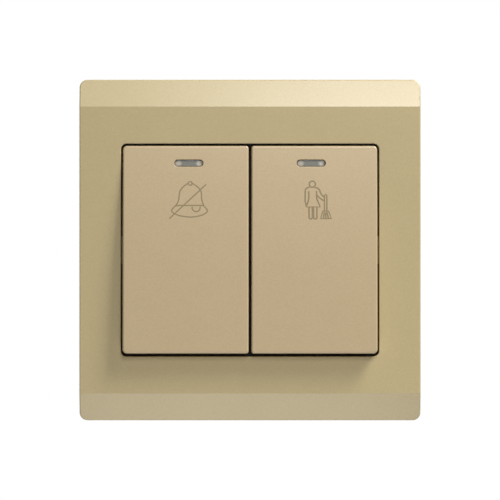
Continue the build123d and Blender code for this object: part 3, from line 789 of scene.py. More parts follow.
class Finishes:
    """All the finishes of the switch, made once and looked up by name."""

    def __init__(self) -> None:
        """Make the shared effects, and each finish from its values."""
        effects = {Effect.FLAKES: flake_effect(), Effect.SKIN: skin_effect(),
                   Effect.ROLLED: rolled_effect()}
        self.by_name = {finish.name: finish.build(effects) for finish in FINISHES}

    def dress(self, piece: bpy.types.Object, name: str) -> None:
        """Give a piece one finish all over."""
        piece.data.materials.clear()
        piece.data.materials.append(self.by_name[name])

    def dress_frame(self) -> None:
        """Give each piece of the frame the finish that its record names."""
        for node, slot in SLOT_OF.items():
            self.dress(frame["nodes"][node], slot)
            log.info("dressed %s in %s", node, slot)


# The switch's own pieces


def front_rim(edge: bmesh.types.BMEdge) -> bool:
    """Say whether an edge lies between a front face and an upright wall.

    Args:
        edge: The edge of an open mesh.

    Returns:
        Whether it is such an edge.
    """
    if len(edge.link_faces) != 2:
        return False
    front, side = sorted(face.normal.y for face in edge.link_faces)
    return front < -FACING and abs(side) < UPRIGHT


def quarters(x: float, z: float) -> list[Point]:
    """Return a place in each quarter of the plate."""
    return [(sx * x, sz * z) for sx in ENDS for sz in ENDS]


def stand_in(node: str) -> bpy.types.Object:
    """Copy a piece of the frame, with its doubled corners merged and its flat faces whole.

    Args:
        node: The name of the frame's piece.

    Returns:
        The copy, selected alone.
    """
    make_active(frame["nodes"][node])
    bpy.ops.object.duplicate()
    piece = bpy.context.object
    bpy.ops.mesh.customdata_custom_splitnormals_clear()
    with editing(piece, Pick.CORNERS):
        bpy.ops.mesh.select_all(action="SELECT")
        bpy.ops.mesh.remove_doubles(threshold=DOUBLED)
        bpy.ops.mesh.dissolve_limited(angle_limit=math.radians(LEVEL_ANGLE))
    make_active(piece)
    return piece


def put_on(piece: bpy.types.Object, body: str, finishes: Finishes, finish: str,
           crease_angle: float = CREASE_ANGLE) -> None:
    """Finish a piece and let it ride on a body.

    Args:
        piece: The piece to finish.
        body: The name of the body that it moves with.
        finishes: All the finishes.
        finish: The name of the piece's finish.
        crease_angle: The angle in degrees past which an edge stays sharp.
    """
    tidy_mesh(piece, crease_angle)
    finishes.dress(piece, finish)
    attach(piece, body)


def put_in_place(piece: bpy.types.Object, node: str, finishes: Finishes, finish: str = "",
                 crease_angle: float = CREASE_ANGLE) -> None:
    """Finish a piece that stands in for one of the frame's, and let it move as that one does.

    Args:
        piece: The piece to finish.
        node: The name of the frame's piece.
        finishes: All the finishes.
        finish: The name of the piece's finish, where it isn't the one of the node's slot.
        crease_angle: The angle in degrees past which an edge stays sharp.
    """
    slot = SLOT_OF[node]
    put_on(piece, BODY_OF[node], finishes, finish or slot, crease_angle)
    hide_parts(node)


@dataclass
class Surround:
    """The square surround with its sloped bands, its opening and what holds it from behind."""

    finishes: Finishes
    size: float = 86.0 * MM
    corner: float = 2.0 * MM
    height: float = 8.6 * MM
    band: float = 6.85 * MM
    drop: float = 1.8 * MM
    wall: float = 2.0 * MM
    edge: float = 0.3 * MM
    crease_edge: float = 0.07 * MM
    opening: tuple[float, float] = (65.0 * MM, 53.6 * MM)
    opening_corner: float = 1.4 * MM
    opening_edge: float = 0.25 * MM
    collar_wall: float = 1.2 * MM
    collar_end: float = 4.4 * MM
    lip: tuple[float, float, float] = (0.9 * MM, 7.0 * MM, 0.6 * MM)
    rib: float = 1.2 * MM
    rib_foot: float = 1.2 * MM
    side_rib_z: float = 15.0 * MM
    end_rib_x: float = 30.0 * MM
    latch_x: float = 18.0 * MM
    latch_width: float = 8.0 * MM
    latch_heights: tuple[float, float] = (2.6 * MM, 5.2 * MM)
    latch_face: float = 39.65 * MM
    barb: tuple[float, float] = (5.0 * MM, 0.95 * MM)
    barb_heights: tuple[float, float] = (2.75 * MM, 4.05 * MM)
    notch: tuple[float, float] = (8.0 * MM, 1.2 * MM)
    pin_mark: float = 1.6 * MM
    pin_mark_rise: float = 0.08 * MM
    beyond: float = 1.0 * MM
    crease_reach: float = 0.05 * MM
    pin_mark_spread: Point = (0.5, 0.6)
    pin_mark_sides: int = 24
    corner_steps: int = 10
    crease_steps: int = 2
    edge_steps: int = 3
    collar_steps: int = 6
    opening_steps: int = 8

    @property
    def half(self) -> float:
        """Return half the width of the plate."""
        return self.size / 2

    @property
    def inner(self) -> float:
        """Return how far from the middle the inside of the outer wall is."""
        return self.half - self.wall

    @property
    def under(self) -> float:
        """Return how far the back of the face stands off the wall of the room."""
        return self.height - self.wall

    def slope(self, piece: bpy.types.Object, height: float) -> None:
        """Cut the slopes of both bands off the front of a block.

        Args:
            piece: The block to cut.
            height: The height of its front face above the wall.
        """
        crease = self.half - self.band
        lean = math.atan2(self.drop, self.band)
        for end in ENDS:
            with editing(piece, Pick.FACES):
                bpy.ops.mesh.select_all(action="SELECT")
                bpy.ops.mesh.bisect(plane_co=(0, -height, end * crease),
                                    plane_no=(0, -math.cos(lean), end * math.sin(lean)),
                                    use_fill=True, clear_outer=True)

    def build_shell(self) -> bpy.types.Object:
        """Model the hollow shell with its sloped bands and rounded edges.

        Returns:
            The shell, with no opening in it yet.
        """
        half, inner, under = self.half, self.inner, self.under
        crease = half - self.band
        body = block("surround_shell", (-half, -self.height, -half), (half, 0, half))
        round_edges(body, lambda e: runs_along(e, Axis.Y), self.corner, self.corner_steps)
        self.slope(body, self.height)
        round_edges(body, lambda e: runs_along(e, Axis.X)
                    and abs(abs(middle(e).z) - crease) < self.crease_reach,
                    self.crease_edge, self.crease_steps)
        round_edges(body, front_rim, self.edge, self.edge_steps)
        hollow = block("hollow", (-inner, -under, -inner), (inner, self.beyond, inner))
        self.slope(hollow, under)
        combine(body, hollow, Join.CUT)
        return body

    def add_collar(self, body: bpy.types.Object) -> None:
        """Add the collar round the opening and the ribs that bear on the support frame.

        Args:
            body: The shell.
        """
        half_x, half_z = (side / 2 for side in self.opening)
        root = self.under + self.wall / 2
        reach, half_rib = self.collar_wall, self.rib / 2
        collar = block("collar", (-half_x - reach, -root, -half_z - reach),
                       (half_x + reach, -self.collar_end, half_z + reach))
        round_edges(collar, lambda e: runs_along(e, Axis.Y), self.opening_corner + reach,
                    self.collar_steps)
        combine(body, collar, Join.ADD)
        for sx, sz in quarters(1, 1):
            x, z = sx * self.end_rib_x, sz * self.side_rib_z
            near, far = span(sx, half_x, self.inner + half_rib)
            add_block(body, (near, -root, z - half_rib), (far, -self.rib_foot, z + half_rib))
            near, far = span(sz, half_z, self.inner + half_rib)
            add_block(body, (x - half_rib, -self.collar_end - half_rib, near),
                      (x + half_rib, -self.rib_foot, far))

    def add_barbs(self, body: bpy.types.Object) -> None:
        """Add the four blocks with barbs that snap into the support frame's latches.

        Args:
            body: The shell.
        """
        for sx, sz in quarters(1, 1):
            x = sx * self.latch_x
            for width, reach, (low, high) in ((self.latch_width, 0, self.latch_heights),
                                              (*self.barb, self.barb_heights)):
                near, far = span(sz, self.latch_face - reach, self.inner + self.wall / 2)
                add_block(body, (x - width / 2, -high, near), (x + width / 2, -low, far))

    def open_front(self, body: bpy.types.Object) -> None:
        """Cut the opening for the rockers and the notch at the bottom, and add the lips.

        Args:
            body: The shell.
        """
        half_x, half_z = (side / 2 for side in self.opening)
        opening = block("opening", (-half_x, -self.height - self.beyond, -half_z),
                        (half_x, self.beyond, half_z))
        round_edges(opening, lambda e: runs_along(e, Axis.Y), self.opening_corner,
                    self.opening_steps)
        combine(body, opening, Join.CUT)
        round_edges(body, lambda e: front_rim(e) and abs(middle(e).x) < half_x + self.beyond
                    and abs(middle(e).z) < half_z + self.beyond, self.opening_edge, self.edge_steps)
        reach, length, thickness = self.lip
        for side in ENDS:
            near, far = span(side, half_x - reach, half_x + self.collar_wall / 2)
            add_block(body, (near, -self.collar_end - thickness, -length / 2),
                      (far, -self.collar_end, length / 2))
        width, height = self.notch
        combine(body, block("notch", (-width / 2, -height, -self.half - self.beyond),
                            (width / 2, self.beyond, -self.half + self.wall + self.beyond)), Join.CUT)

    def pin_marks(self) -> list[bpy.types.Object]:
        """Make the faint round marks that the mould's ejector pins leave behind the face.

        Returns:
            The marks.
        """
        x = (self.opening[0] / 2 + self.collar_wall + self.half - self.wall) / 2
        z = (self.opening[1] / 2 + self.collar_wall + self.half - self.band) / 2
        share_x, share_z = self.pin_mark_spread
        places = quarters(x, share_z * z) + quarters(share_x * x, z) + [(0, -z), (0, z)]
        return [disc("pin_mark", (px, -self.under + self.pin_mark_rise, pz), self.pin_mark,
                     2 * self.pin_mark_rise, self.pin_mark_sides) for px, pz in places]

    def build(self) -> None:
        """Build the surround and let it stand in for the frame's piece."""
        body = self.build_shell()
        self.add_collar(body)
        self.add_barbs(body)
        self.open_front(body)
        body = weld([body, *self.pin_marks()], "surround_shell")
        put_in_place(body, "cover_frame", self.finishes)
        log.info("built the surround with %d faces", len(body.data.polygons))


@dataclass
class Rocker:
    """One rocker: its face, its skirts, its window slot and the clips and ribs behind it."""

    side: str
    finishes: Finishes
    lie: Lie
    width: float = 31.7 * MM
    length: float = 52.0 * MM
    foot: float = 0.3 * MM
    gap: float = 0.7 * MM
    front: float = ROCKER_FRONT
    skirt_depth: float = 5.0 * MM
    front_wall: float = 1.8 * MM
    skirt_wall: float = 1.2 * MM
    outer_corner: float = 1.0 * MM
    inner_corner: float = 0.65 * MM
    edge: float = 0.45 * MM
    slot_edge: float = 0.15 * MM
    rib: tuple[float, float] = (1.0 * MM, 1.3 * MM)
    rib_z: float = 16.0 * MM
    window: Point = (7.3 * MM, 1.75 * MM)
    clip_x: float = GANG_X
    clip_z: float = 9.1 * MM
    clip: tuple[float, float] = (9.0 * MM, 1.2 * MM)
    clip_depths: tuple[float, float, float] = (1.6 * MM, 2.3 * MM, 0.6 * MM)
    strips: int = 26
    beyond: float = 1.0 * MM
    corner_steps: int = 6
    edge_steps: int = 5
    slot_steps: int = 2

    @property
    def under(self) -> float:
        """Return how far the back of the face stands off the wall of the room."""
        return self.front - self.front_wall

    def reach(self, inset: float) -> Point:
        """Return the lowest and highest X of the rocker, drawn in by an inset."""
        near, far = span(SIDES[self.side], self.gap / 2, self.gap / 2 + self.width)
        return near + inset, far - inset

    def build_shell(self) -> bpy.types.Object:
        """Model the rounded cap, hollow it and cut its window slot.

        Returns:
            The cap, upright.
        """
        low, high = self.reach(0)
        back = self.front - self.skirt_depth
        top = self.length / 2
        bottom = -top - self.foot
        body = block(f"rocker_cap_{self.side}", (low, -self.front, bottom), (high, -back, top))
        centre = (low + high) / 2
        for outer, radius in ((True, self.outer_corner), (False, self.inner_corner)):
            round_edges(body, lambda e: runs_along(e, Axis.Y) and e.calc_length() > self.edge
                        and (abs(middle(e).x) > abs(centre)) == outer
                        and not bottom + self.beyond < middle(e).z < top - self.beyond,
                        radius, self.corner_steps)
        round_edges(body, front_rim, self.edge, self.edge_steps)
        low, high = self.reach(self.skirt_wall)
        combine(body, block("hollow", (low, -self.under, bottom + self.skirt_wall),
                            (high, -back + self.beyond, top - self.skirt_wall)), Join.CUT)
        x, z = SIDES[self.side] * WINDOW_PLACE[0], WINDOW_PLACE[1]
        length, width = self.window
        combine(body, oblong("slot", (x, -self.front, z), length, width,
                             2 * self.front_wall + self.beyond), Join.CUT)
        round_edges(body, lambda e: front_rim(e) and abs(middle(e).x - x) < length / 2 + self.slot_edge
                    and abs(middle(e).z - z) < width / 2 + self.slot_edge,
                    self.slot_edge, self.slot_steps)
        return body

    def add_back(self, body: bpy.types.Object) -> None:
        """Add the cross ribs and the hooked clips behind the face.

        Args:
            body: The cap.
        """
        low, high = self.reach(self.skirt_wall / 2)
        thickness, depth = self.rib
        root = self.front_wall / 2
        for z in (-self.rib_z, self.rib_z):
            add_block(body, (low, -self.under - root, z - thickness / 2),
                      (high, -self.under + depth, z + thickness / 2))
        x = SIDES[self.side] * self.clip_x
        width, thickness = self.clip
        hook_start, depth, hook = self.clip_depths
        for end in ENDS:
            for start, (near, far) in (
                    (-root, span(end, self.clip_z, self.clip_z + thickness)),
                    (hook_start, span(end, self.clip_z - hook, self.clip_z + thickness / 2))):
                add_block(body, (x - width / 2, -self.under + start, near),
                          (x + width / 2, -self.under + depth, far))

    def score(self, body: bpy.types.Object) -> None:
        """Cut the cap across into level strips, so that its face can be crowned.

        Args:
            body: The cap.
        """
        for i in range(1, self.strips):
            with editing(body, Pick.FACES):
                bpy.ops.mesh.select_all(action="SELECT")
                bpy.ops.mesh.bisect(plane_co=(0, 0, self.length * (i / self.strips - 0.5)),
                                    plane_no=(0, 0, 1))

    def build(self) -> None:
        """Build the rocker and let it stand in for the frame's piece."""
        body = self.build_shell()
        self.add_back(body)
        self.score(body)
        self.lie.settle(body)
        put_in_place(body, f"rocker_{self.side}", self.finishes, "rocker_lacquer")
        log.info("built the %s rocker with %d faces", self.side, len(body.data.polygons))


@dataclass
class IndicatorLens:
    """The clear window of one rocker: a flat middle over the lamp and sloping ends; the pale spots near
    the ends are painted highlights in its finish.
    """

    side: str
    finishes: Finishes
    lie: Lie
    length: float = 7.14 * MM
    width: float = 1.59 * MM
    front: float = 10.2 * MM
    foot: float = 7.0 * MM
    flange_heights: tuple[float, float] = (7.7 * MM, 8.7 * MM)
    flange_lip: float = 1.0 * MM
    slot_gap: float = 0.08 * MM
    edge: float = 0.12 * MM
    flat: float = 3.9 * MM
    fall: float = 0.16 * MM
    edge_steps: int = 2
    crease_angle: float = 24.0

    def build(self) -> None:
        """Build the lens with its flange and let it stand in for the frame's piece."""
        x, z = SIDES[self.side] * WINDOW_PLACE[0], WINDOW_PLACE[1]
        guide = oblong(f"lens_{self.side}", (x, -(self.front + self.foot) / 2, z), self.length,
                       self.width, self.front - self.foot)
        for end in ENDS:
            with editing(guide, Pick.FACES):
                bpy.ops.mesh.select_all(action="SELECT")
                bpy.ops.mesh.bisect(plane_co=(x + end * self.flat / 2, 0, z), plane_no=(1, 0, 0))
            with editing(guide, Pick.CORNERS) as mesh:
                choose(guide, mesh.verts, lambda v: v.co.y < -self.front + self.edge
                       and end * (v.co.x - x) > self.flat / 2 + self.edge)
                bpy.ops.transform.translate(value=(0, self.fall, 0))
        round_edges(guide, front_rim, self.edge, self.edge_steps)
        low, high = self.flange_heights
        lip = 2 * (self.slot_gap + self.flange_lip)
        combine(guide, oblong("flange", (x, -(low + high) / 2, z), self.length + lip, self.width + lip,
                              high - low), Join.ADD)
        self.lie.settle(guide)
        put_in_place(guide, f"indicator_window_{self.side}", self.finishes,
                     crease_angle=self.crease_angle)
        log.info("built the %s lens", self.side)


@dataclass
class PlungerSpring:
    """The spring behind one plunger, which shortens as the plunger slides in."""

    side: str
    finishes: Finishes

    def build(self) -> None:
        """Copy the frame's spring and let the copy stand in for it, with a mesh of its own."""
        node = f"plunger_spring_{self.side}"
        spring = stand_in(node)
        spring.name = f"spring_coil_{self.side}"
        put_in_place(spring, node, self.finishes)
        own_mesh(spring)


@dataclass
class Eased:
    """A moulding, pressing or turned piece of the frame whose sharp edges are eased."""

    node: str
    ease: float
    finishes: Finishes
    steps: int = 2
    sharp: float = 30.0

    def build(self) -> None:
        """Copy the frame's piece, ease its edges and let the copy stand in for it."""
        piece = stand_in(self.node)
        piece.name = f"{self.node}_eased"
        ease = piece.modifiers.new("ease", "BEVEL")
        ease.width = self.ease
        ease.segments = self.steps
        ease.angle_limit = math.radians(self.sharp)
        ease.use_clamp_overlap = False
        ease.loop_slide = False
        bpy.ops.object.modifier_apply(modifier=ease.name)
        put_in_place(piece, self.node, self.finishes)
        log.info("eased the edges of %s", self.node)


@dataclass
class HousingMarks:
    """The raised numbers, the arrow and the wire gauge on the recess floor behind the housing."""

    finishes: Finishes
    floor_y: float = 14.0 * MM
    rise: float = 0.3 * MM
    sunk: float = 0.1 * MM
    number_size: float = 3.4 * MM
    number_x: float = GANG_X
    number_z: float = 8.2 * MM
    arrow: tuple[float, float, float] = (1.0 * MM, 5.0 * MM, 2.0 * MM)
    gauge: tuple[float, float, float] = (8.0 * MM, 0.7 * MM, 2.4 * MM)
    ring: tuple[float, float] = (1.7 * MM, 1.45 * MM)
    ring_x: float = 20.6 * MM
    ring_sides: int = 32
    tip_sides: int = 3

    @property
    def middle_y(self) -> float:
        """Return the middle of what is raised, between its foot and its top."""
        return self.floor_y + (self.rise - self.sunk) / 2

    def bar(self, x: float, z: float, width: float, height: float) -> bpy.types.Object:
        """Return a flat bar on the floor about a place."""
        return block("bar", (x - width / 2, self.floor_y - self.sunk, z - height / 2),
                     (x + width / 2, self.floor_y + self.rise, z + height / 2))

    def number(self, text: str, x: float, z: float) -> bpy.types.Object:
        """Raise a number that reads right from behind.

        Args:
            text: The number.
            x: The X of its middle.
            z: The Z of its middle.

        Returns:
            The number as a mesh.
        """
        bpy.ops.object.select_all(action="DESELECT")
        bpy.ops.object.text_add()
        writing = bpy.context.object
        writing.data.body = text
        writing.data.size = self.number_size
        writing.data.extrude = (self.rise + self.sunk) / 2
        writing.data.align_x = "CENTER"
        writing.data.align_y = "CENTER"
        bpy.ops.object.convert(target="MESH")
        piece = bpy.context.object
        from_behind = Matrix(((-1, 0, 0, x), (0, 0, 1, self.middle_y), (0, 1, 0, z), (0, 0, 0, 1)))
        piece.data.transform(from_behind)
        return piece

    def arrow_up(self) -> list[bpy.types.Object]:
        """Model the arrow that points up.

        Returns:
            Its shaft and its head.
        """
        width, length, head = self.arrow
        shaft = self.bar(0, -head / 2, width, length)
        tip = disc("tip", (0, self.middle_y, length / 2), head, self.rise + self.sunk, self.tip_sides)
        return [shaft, tip]

    def mould_ring(self, x: float, z: float) -> bpy.types.Object:
        """Model the faint ring that an ejector pin leaves.

        Args:
            x: The X of its middle.
            z: The Z of its middle.

        Returns:
            The ring.
        """
        outer, inner = self.ring
        centre = (x, self.floor_y, z)
        ring = disc("mould_ring", centre, outer, self.rise, self.ring_sides)
        combine(ring, disc("hole", centre, inner, 2 * self.rise, self.ring_sides), Join.CUT)
        return ring

    def build(self) -> None:
        """Build the marks as one piece on the housing."""
        length, thickness, tick = self.gauge
        pieces = self.arrow_up()
        for side in SIDES.values():
            gang_x = side * self.number_x
            pieces.append(self.bar(gang_x, 0, length, thickness))
            pieces += [self.bar(gang_x + end * length / 2, 0, thickness, tick) for end in ENDS]
            for text, z in (("1", self.number_z), ("2", -self.number_z)):
                pieces.append(self.number(text, gang_x, z))
                pieces.append(self.mould_ring(side * self.ring_x, z))
        marks = weld(pieces, "housing_marks")
        put_on(marks, "base", self.finishes, "grey_plastic")
        log.info("raised the marks behind the housing")


@dataclass
class ResistorBands:
    """The colour bands round one series resistor."""

    side: str
    finishes: Finishes
    radius: float = 0.97 * MM
    body_radius: float = 0.95 * MM
    width: float = 0.5 * MM
    sides: int = 32
    offsets: tuple[float, ...] = (-1.7 * MM, -0.75 * MM, 0.2 * MM, 1.6 * MM)
    colours: tuple[str, ...] = ("brown_band", "black_band", "yellow_band", "gilt_band")

    def build(self) -> None:
        """Wind each band on the resistor's body."""
        low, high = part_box(f"indicator_resistor_{self.side}")
        centre = Vector(((low.x + high.x) / 2, low.y + self.body_radius, (low.z + high.z) / 2))
        for offset, colour in zip(self.offsets, self.colours):
            band = disc(f"{colour}_{self.side}", centre + Vector((offset, 0, 0)), self.radius,
                        self.width, self.sides, ALONG_X)
            put_on(band, "base", self.finishes, colour)
        log.info("banded the %s resistor", self.side)


@dataclass
class Stroke:
    """One line of a pictogram, in millimetres from the pictogram's middle."""

    points: list[Point]
    closed: bool = False
    smooth: bool = False


def straight(start: Point, end: Point, steps: int = 8) -> list[Point]:
    """Return points along a straight stretch, close enough to follow a crowned face."""
    return [(start[0] + (end[0] - start[0]) * i / steps, start[1] + (end[1] - start[1]) * i / steps)
            for i in range(steps + 1)]


def arc(centre: Point, radius: float, start: float, end: float, steps: int = 12) -> list[Point]:
    """Return points along a round stretch, with angles in degrees from the right, anticlockwise."""
    turns = [math.radians(start + (end - start) * i / steps) for i in range(steps + 1)]
    return [(centre[0] + radius * math.cos(t), centre[1] + radius * math.sin(t)) for t in turns]


@dataclass
class Pictogram:
    """A pictogram printed on a rocker's face in thin lines."""

    name: str
    side: str
    middle: Point
    strokes: list[Stroke]
    finishes: Finishes
    lie: Lie
    line_width: float = 0.4 * MM
    front: float = ROCKER_FRONT
    flatness: float = 0.08
    roundness: int = 2
    curve_steps: int = 6
    curve_order: int = 3
    crease_angle: float = 60.0

    def draw(self) -> None:
        """Draw the lines, lay them on the face and let them ride on the rocker."""
        mark = weld([self.draw_line(stroke) for stroke in self.strokes], self.name)
        mark.data.transform(Matrix.Diagonal((1, self.flatness, 1, 1)))
        mark.data.transform(Matrix.Translation((self.middle[0], -self.front, self.middle[1])))
        self.lie.settle(mark)
        put_on(mark, f"rocker_{self.side}", self.finishes, "printed_ink",
               self.crease_angle)
        log.info("drew %s with %d lines", self.name, len(self.strokes))

    def draw_line(self, stroke: Stroke) -> bpy.types.Object:
        """Draw one line as a fine round bead about the pictogram's middle.

        Args:
            stroke: The line to draw.

        Returns:
            The line as a mesh.
        """
        curve = bpy.data.curves.new(self.name, "CURVE")
        curve.dimensions = "3D"
        curve.bevel_depth = self.line_width / 2
        curve.bevel_resolution = self.roundness
        curve.resolution_u = self.curve_steps
        curve.use_fill_caps = True
        spline = curve.splines.new("NURBS" if stroke.smooth else "POLY")
        spline.points.add(len(stroke.points) - 1)
        for point, (x, z) in zip(spline.points, stroke.points):
            point.co = (x * MM, 0, z * MM, 1)
        spline.use_cyclic_u = stroke.closed
        if stroke.smooth:
            spline.order_u = self.curve_order
            spline.use_endpoint_u = not stroke.closed
        line = bpy.data.objects.new(self.name, curve)
        bpy.context.scene.collection.objects.link(line)
        make_active(line)
        bpy.ops.object.convert(target="MESH")
        return bpy.context.object


def bell_strokes() -> list[Stroke]:
    """Return the lines of a bell that is crossed out."""
    return [
        Stroke(arc((0.06, 4.2), 0.48, 0, 345), closed=True),
        Stroke([(-0.45, 4.27), (-1.3, 3.7), (-2.0, 3.05), (-2.55, 2.3), (-2.72, 1.2), (-2.78, 0.2),
                (-3.1, -0.7), (-3.6, -1.45), (-4.35, -2.1), (-4.75, -2.85), (-3.9, -3.5), (-2.3, -4.05),
                (0.0, -4.35), (2.2, -4.1), (3.9, -3.45), (4.55, -2.75), (4.0, -2.0), (3.45, -1.5),
                (3.15, -0.5), (2.9, 0.4), (2.92, 1.3), (2.75, 2.4), (2.1, 3.2), (1.4, 3.75),
                (0.57, 4.27)], smooth=True),
        Stroke([(-3.6, -1.5), (-2.9, -1.36), (3.3, -1.36)]),
        Stroke(arc((1.56, -1.9), 1.02, 165, 375, steps=16)),
        Stroke(straight((-5.2, -4.7), (4.05, 3.95))),
    ]


def sweeper_strokes() -> list[Stroke]:
    """Draw a figure in a dress with a broom.

    Returns:
        Its lines.
    """
    half_leg, hem, ankle = 0.42, -1.8, -4.35
    legs = [Stroke([(x - half_leg, hem), (x - half_leg, ankle)]
                   + arc((x, ankle), half_leg, 180, 360, steps=8)
                   + [(x + half_leg, hem)]) for x in (-0.42, 0.72)]
    bristles = [Stroke([(3.34 + 0.36 * i, -3.1), (3.42 + 0.62 * i, -4.6)]) for i in (-1, 0, 1)]
    return legs + bristles + [
        Stroke(arc((0.0, 4.02), 0.78, 0, 345, steps=20), closed=True),
        Stroke([(-0.75, 3.22), (-1.3, 3.15), (-1.78, 2.7), (-1.8, 1.6), (-1.8, 0.5), (-1.84, -0.35),
                (-1.62, -0.95), (-1.45, -1.75)], smooth=True),
        Stroke([(-0.92, 2.25), (-0.88, 1.4), (-0.9, 0.5), (-1.02, -0.3), (-1.3, -1.0), (-1.45, -1.75),
                (1.95, -1.75), (1.5, -0.6), (1.1, 0.4), (1.08, 1.3), (1.05, 2.25)]),
        Stroke([(0.6, 3.2), (1.25, 3.12), (1.8, 2.6), (2.05, 1.85), (2.45, 1.2), (3.0, 0.7)],
               smooth=True),
        Stroke([(1.1, 1.25), (1.72, 0.66), (2.2, 0.26), (2.95, -0.2)]),
        Stroke([(3.04, -2.7), (3.04, 1.1), (3.34, 1.5), (3.64, 1.1), (3.64, -2.7)]),
        Stroke([(2.6, -2.8), (4.08, -2.8), (4.75, -4.7), (2.08, -4.7)], closed=True),
    ]


# Floor, lamps and camera


@dataclass(frozen=True)
class Softbox:
    """A soft studio lamp with a square face that is turned to the switch.

    Its height is the angle in degrees between its direction and the wall, towards the room where it is
    positive, and its turn is the angle round the plate's middle, anticlockwise from the right.
    """

    name: str
    height: float
    turn: float
    distance: float
    size: float
    power: float

    def hang(self) -> None:
        """Add the lamp, turned to the middle of the plate. One behind the wall isn't mirrored."""
        height, turn = math.radians(self.height), math.radians(self.turn)
        direction = Vector((math.cos(height) * math.cos(turn), -math.sin(height),
                            math.cos(height) * math.sin(turn)))
        lamp = bpy.data.lights.new(self.name, "AREA")
        lamp.size = self.size
        lamp.energy = self.power
        holder = bpy.data.objects.new(self.name, lamp)
        holder.location = direction * self.distance
        holder.rotation_euler = (-direction).to_track_quat("-Z", "Y").to_euler()
        holder.visible_glossy = self.height > 0
        bpy.context.scene.collection.objects.link(holder)
        log.info("hung %s", self.name)


SOFTBOXES = (
    Softbox("key", height=20, turn=50, distance=0.8, size=0.28, power=4.8),
    Softbox("grazing_key", height=13, turn=60, distance=0.8, size=0.28, power=6.0),
    Softbox("upper_front", height=60, turn=77, distance=0.5, size=0.12, power=0.74),
    Softbox("low_front", height=40, turn=268, distance=0.19, size=0.12, power=0.095),
    Softbox("rear_left", height=-45, turn=160, distance=0.6, size=0.35, power=2.2),
    Softbox("rear_middle", height=-68, turn=0, distance=0.6, size=0.3, power=1.2),
)


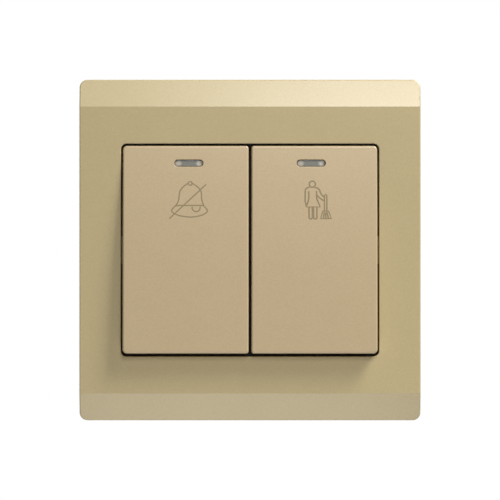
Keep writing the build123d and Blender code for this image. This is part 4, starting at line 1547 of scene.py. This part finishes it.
@dataclass
class Studio:
    """The pale floor, the white surroundings, the lamps and the camera."""

    floor_reach: float = 0.4
    floor_z: float = -0.36
    floor_colour: Colour = swatch(244, 244, 243)
    floor_roughness: float = 0.9
    floor_specular: float = 0.1
    frame_width: float = 125.97 * MM
    camera_distance: float = 1.0
    sensor: float = 36.0

    def white_to_sight(self, tree: bpy.types.NodeTree) -> bpy.types.NodeSocket:
        """Add nodes that give 1 to camera, glossy and transmission rays and 0 to others.

        Args:
            tree: The node tree that the nodes go in.

        Returns:
            The output that holds the share.
        """
        path = tree.nodes.new("ShaderNodeLightPath")
        share = path.outputs["Is Camera Ray"]
        for ray in ("Is Glossy Ray", "Is Transmission Ray"):
            most = tree.nodes.new("ShaderNodeMath")
            most.operation = "MAXIMUM"
            tree.links.new(share, most.inputs[0])
            tree.links.new(path.outputs[ray], most.inputs[1])
            share = most.outputs["Value"]
        return share

    def surround_with_white(self) -> None:
        """Make the world white to the eye and in what mirrors it, with no light of its own."""
        world = bpy.data.worlds.new("white_room")
        world.use_nodes = True
        bpy.context.scene.world = world
        tree = world.node_tree
        background = tree.nodes["Background"]
        tree.links.new(self.white_to_sight(tree), background.inputs["Strength"])
        background.inputs["Color"].default_value = WHITE

    def lay_floor(self) -> None:
        """Lay a plain white floor that takes the switch's shadow, and is clear from below."""
        bpy.ops.object.select_all(action="DESELECT")
        bpy.ops.mesh.primitive_plane_add(size=2 * self.floor_reach, location=(0, 0, self.floor_z))
        floor = bpy.context.object
        floor.name = "floor"
        shader = Shader("pale_floor")
        shader.set(roughness=self.floor_roughness, base_color=self.floor_colour)
        shader.surface.inputs["Specular IOR Level"].default_value = self.floor_specular
        sides = shader.add("ShaderNodeMixShader")
        shader.link(shader.add("ShaderNodeNewGeometry").outputs["Backfacing"], sides.inputs["Fac"])
        shader.link(shader.surface.outputs["BSDF"], sides.inputs[1])
        shader.link(shader.add("ShaderNodeBsdfTransparent").outputs["BSDF"], sides.inputs[2])
        shader.link(sides.outputs["Shader"], shader.output.inputs["Surface"])
        floor.data.materials.append(shader.material)

    def set_camera(self) -> None:
        """Set a long lens straight in front of the plate, at the photograph's framing."""
        lens = bpy.data.cameras.new("camera")
        lens.sensor_width = self.sensor
        lens.lens = self.sensor * self.camera_distance / self.frame_width
        holder = bpy.data.objects.new("camera", lens)
        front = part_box("cover_frame")[0].y
        holder.location = (0, front - self.camera_distance, 0)
        holder.rotation_euler = ALONG_Y
        bpy.context.scene.collection.objects.link(holder)
        bpy.context.scene.camera = holder

    def build(self) -> None:
        """Set up everything round the switch."""
        bpy.context.scene.view_settings.view_transform = "Standard"
        self.surround_with_white()
        self.lay_floor()
        for softbox in SOFTBOXES:
            softbox.hang()
        self.set_camera()


EASED_PIECES = {
    "support_frame": 0.12 * MM,
    "mechanism_cover": 0.2 * MM,
    "base_housing": 0.25 * MM,
    "body_screws": 0.12 * MM,
}
EASED_PAIRS = {
    "load_terminal": 0.2 * MM,
    "common_terminal": 0.2 * MM,
    "load_terminal_screw": 0.12 * MM,
    "common_terminal_screw": 0.12 * MM,
    "actuator": 0.15 * MM,
    "plunger": 0.1 * MM,
    "moving_contact": 0.1 * MM,
    "common_strip": 0.1 * MM,
    "load_strip": 0.1 * MM,
    "indicator_board": 0.06 * MM,
}


def ease_frame(finishes: Finishes) -> None:
    """Ease the edges of the frame's own pieces, each by its own width.

    Args:
        finishes: All the finishes.
    """
    for node, width in EASED_PIECES.items():
        Eased(node, width, finishes).build()
    for name, width in EASED_PAIRS.items():
        for side in SIDES:
            Eased(f"{name}_{side}", width, finishes).build()


def main() -> None:
    """Build the studio, the finishes and each piece in order."""
    logging.basicConfig(level=logging.INFO, format="%(name)s: %(message)s")
    Studio().build()
    finishes = Finishes()
    finishes.dress_frame()
    lie = Lie()
    ease_frame(finishes)
    HousingMarks(finishes).build()
    Surround(finishes).build()
    for side in SIDES:
        PlungerSpring(side, finishes).build()
        ResistorBands(side, finishes).build()
        Rocker(side, finishes, lie).build()
        IndicatorLens(side, finishes, lie).build()
    Pictogram("bell_mark", "left", BELL_PLACE, bell_strokes(), finishes, lie, BELL_LINE).draw()
    Pictogram("sweeper_mark", "right", SWEEPER_PLACE, sweeper_strokes(), finishes, lie).draw()


if __name__ == "__main__":
    main()
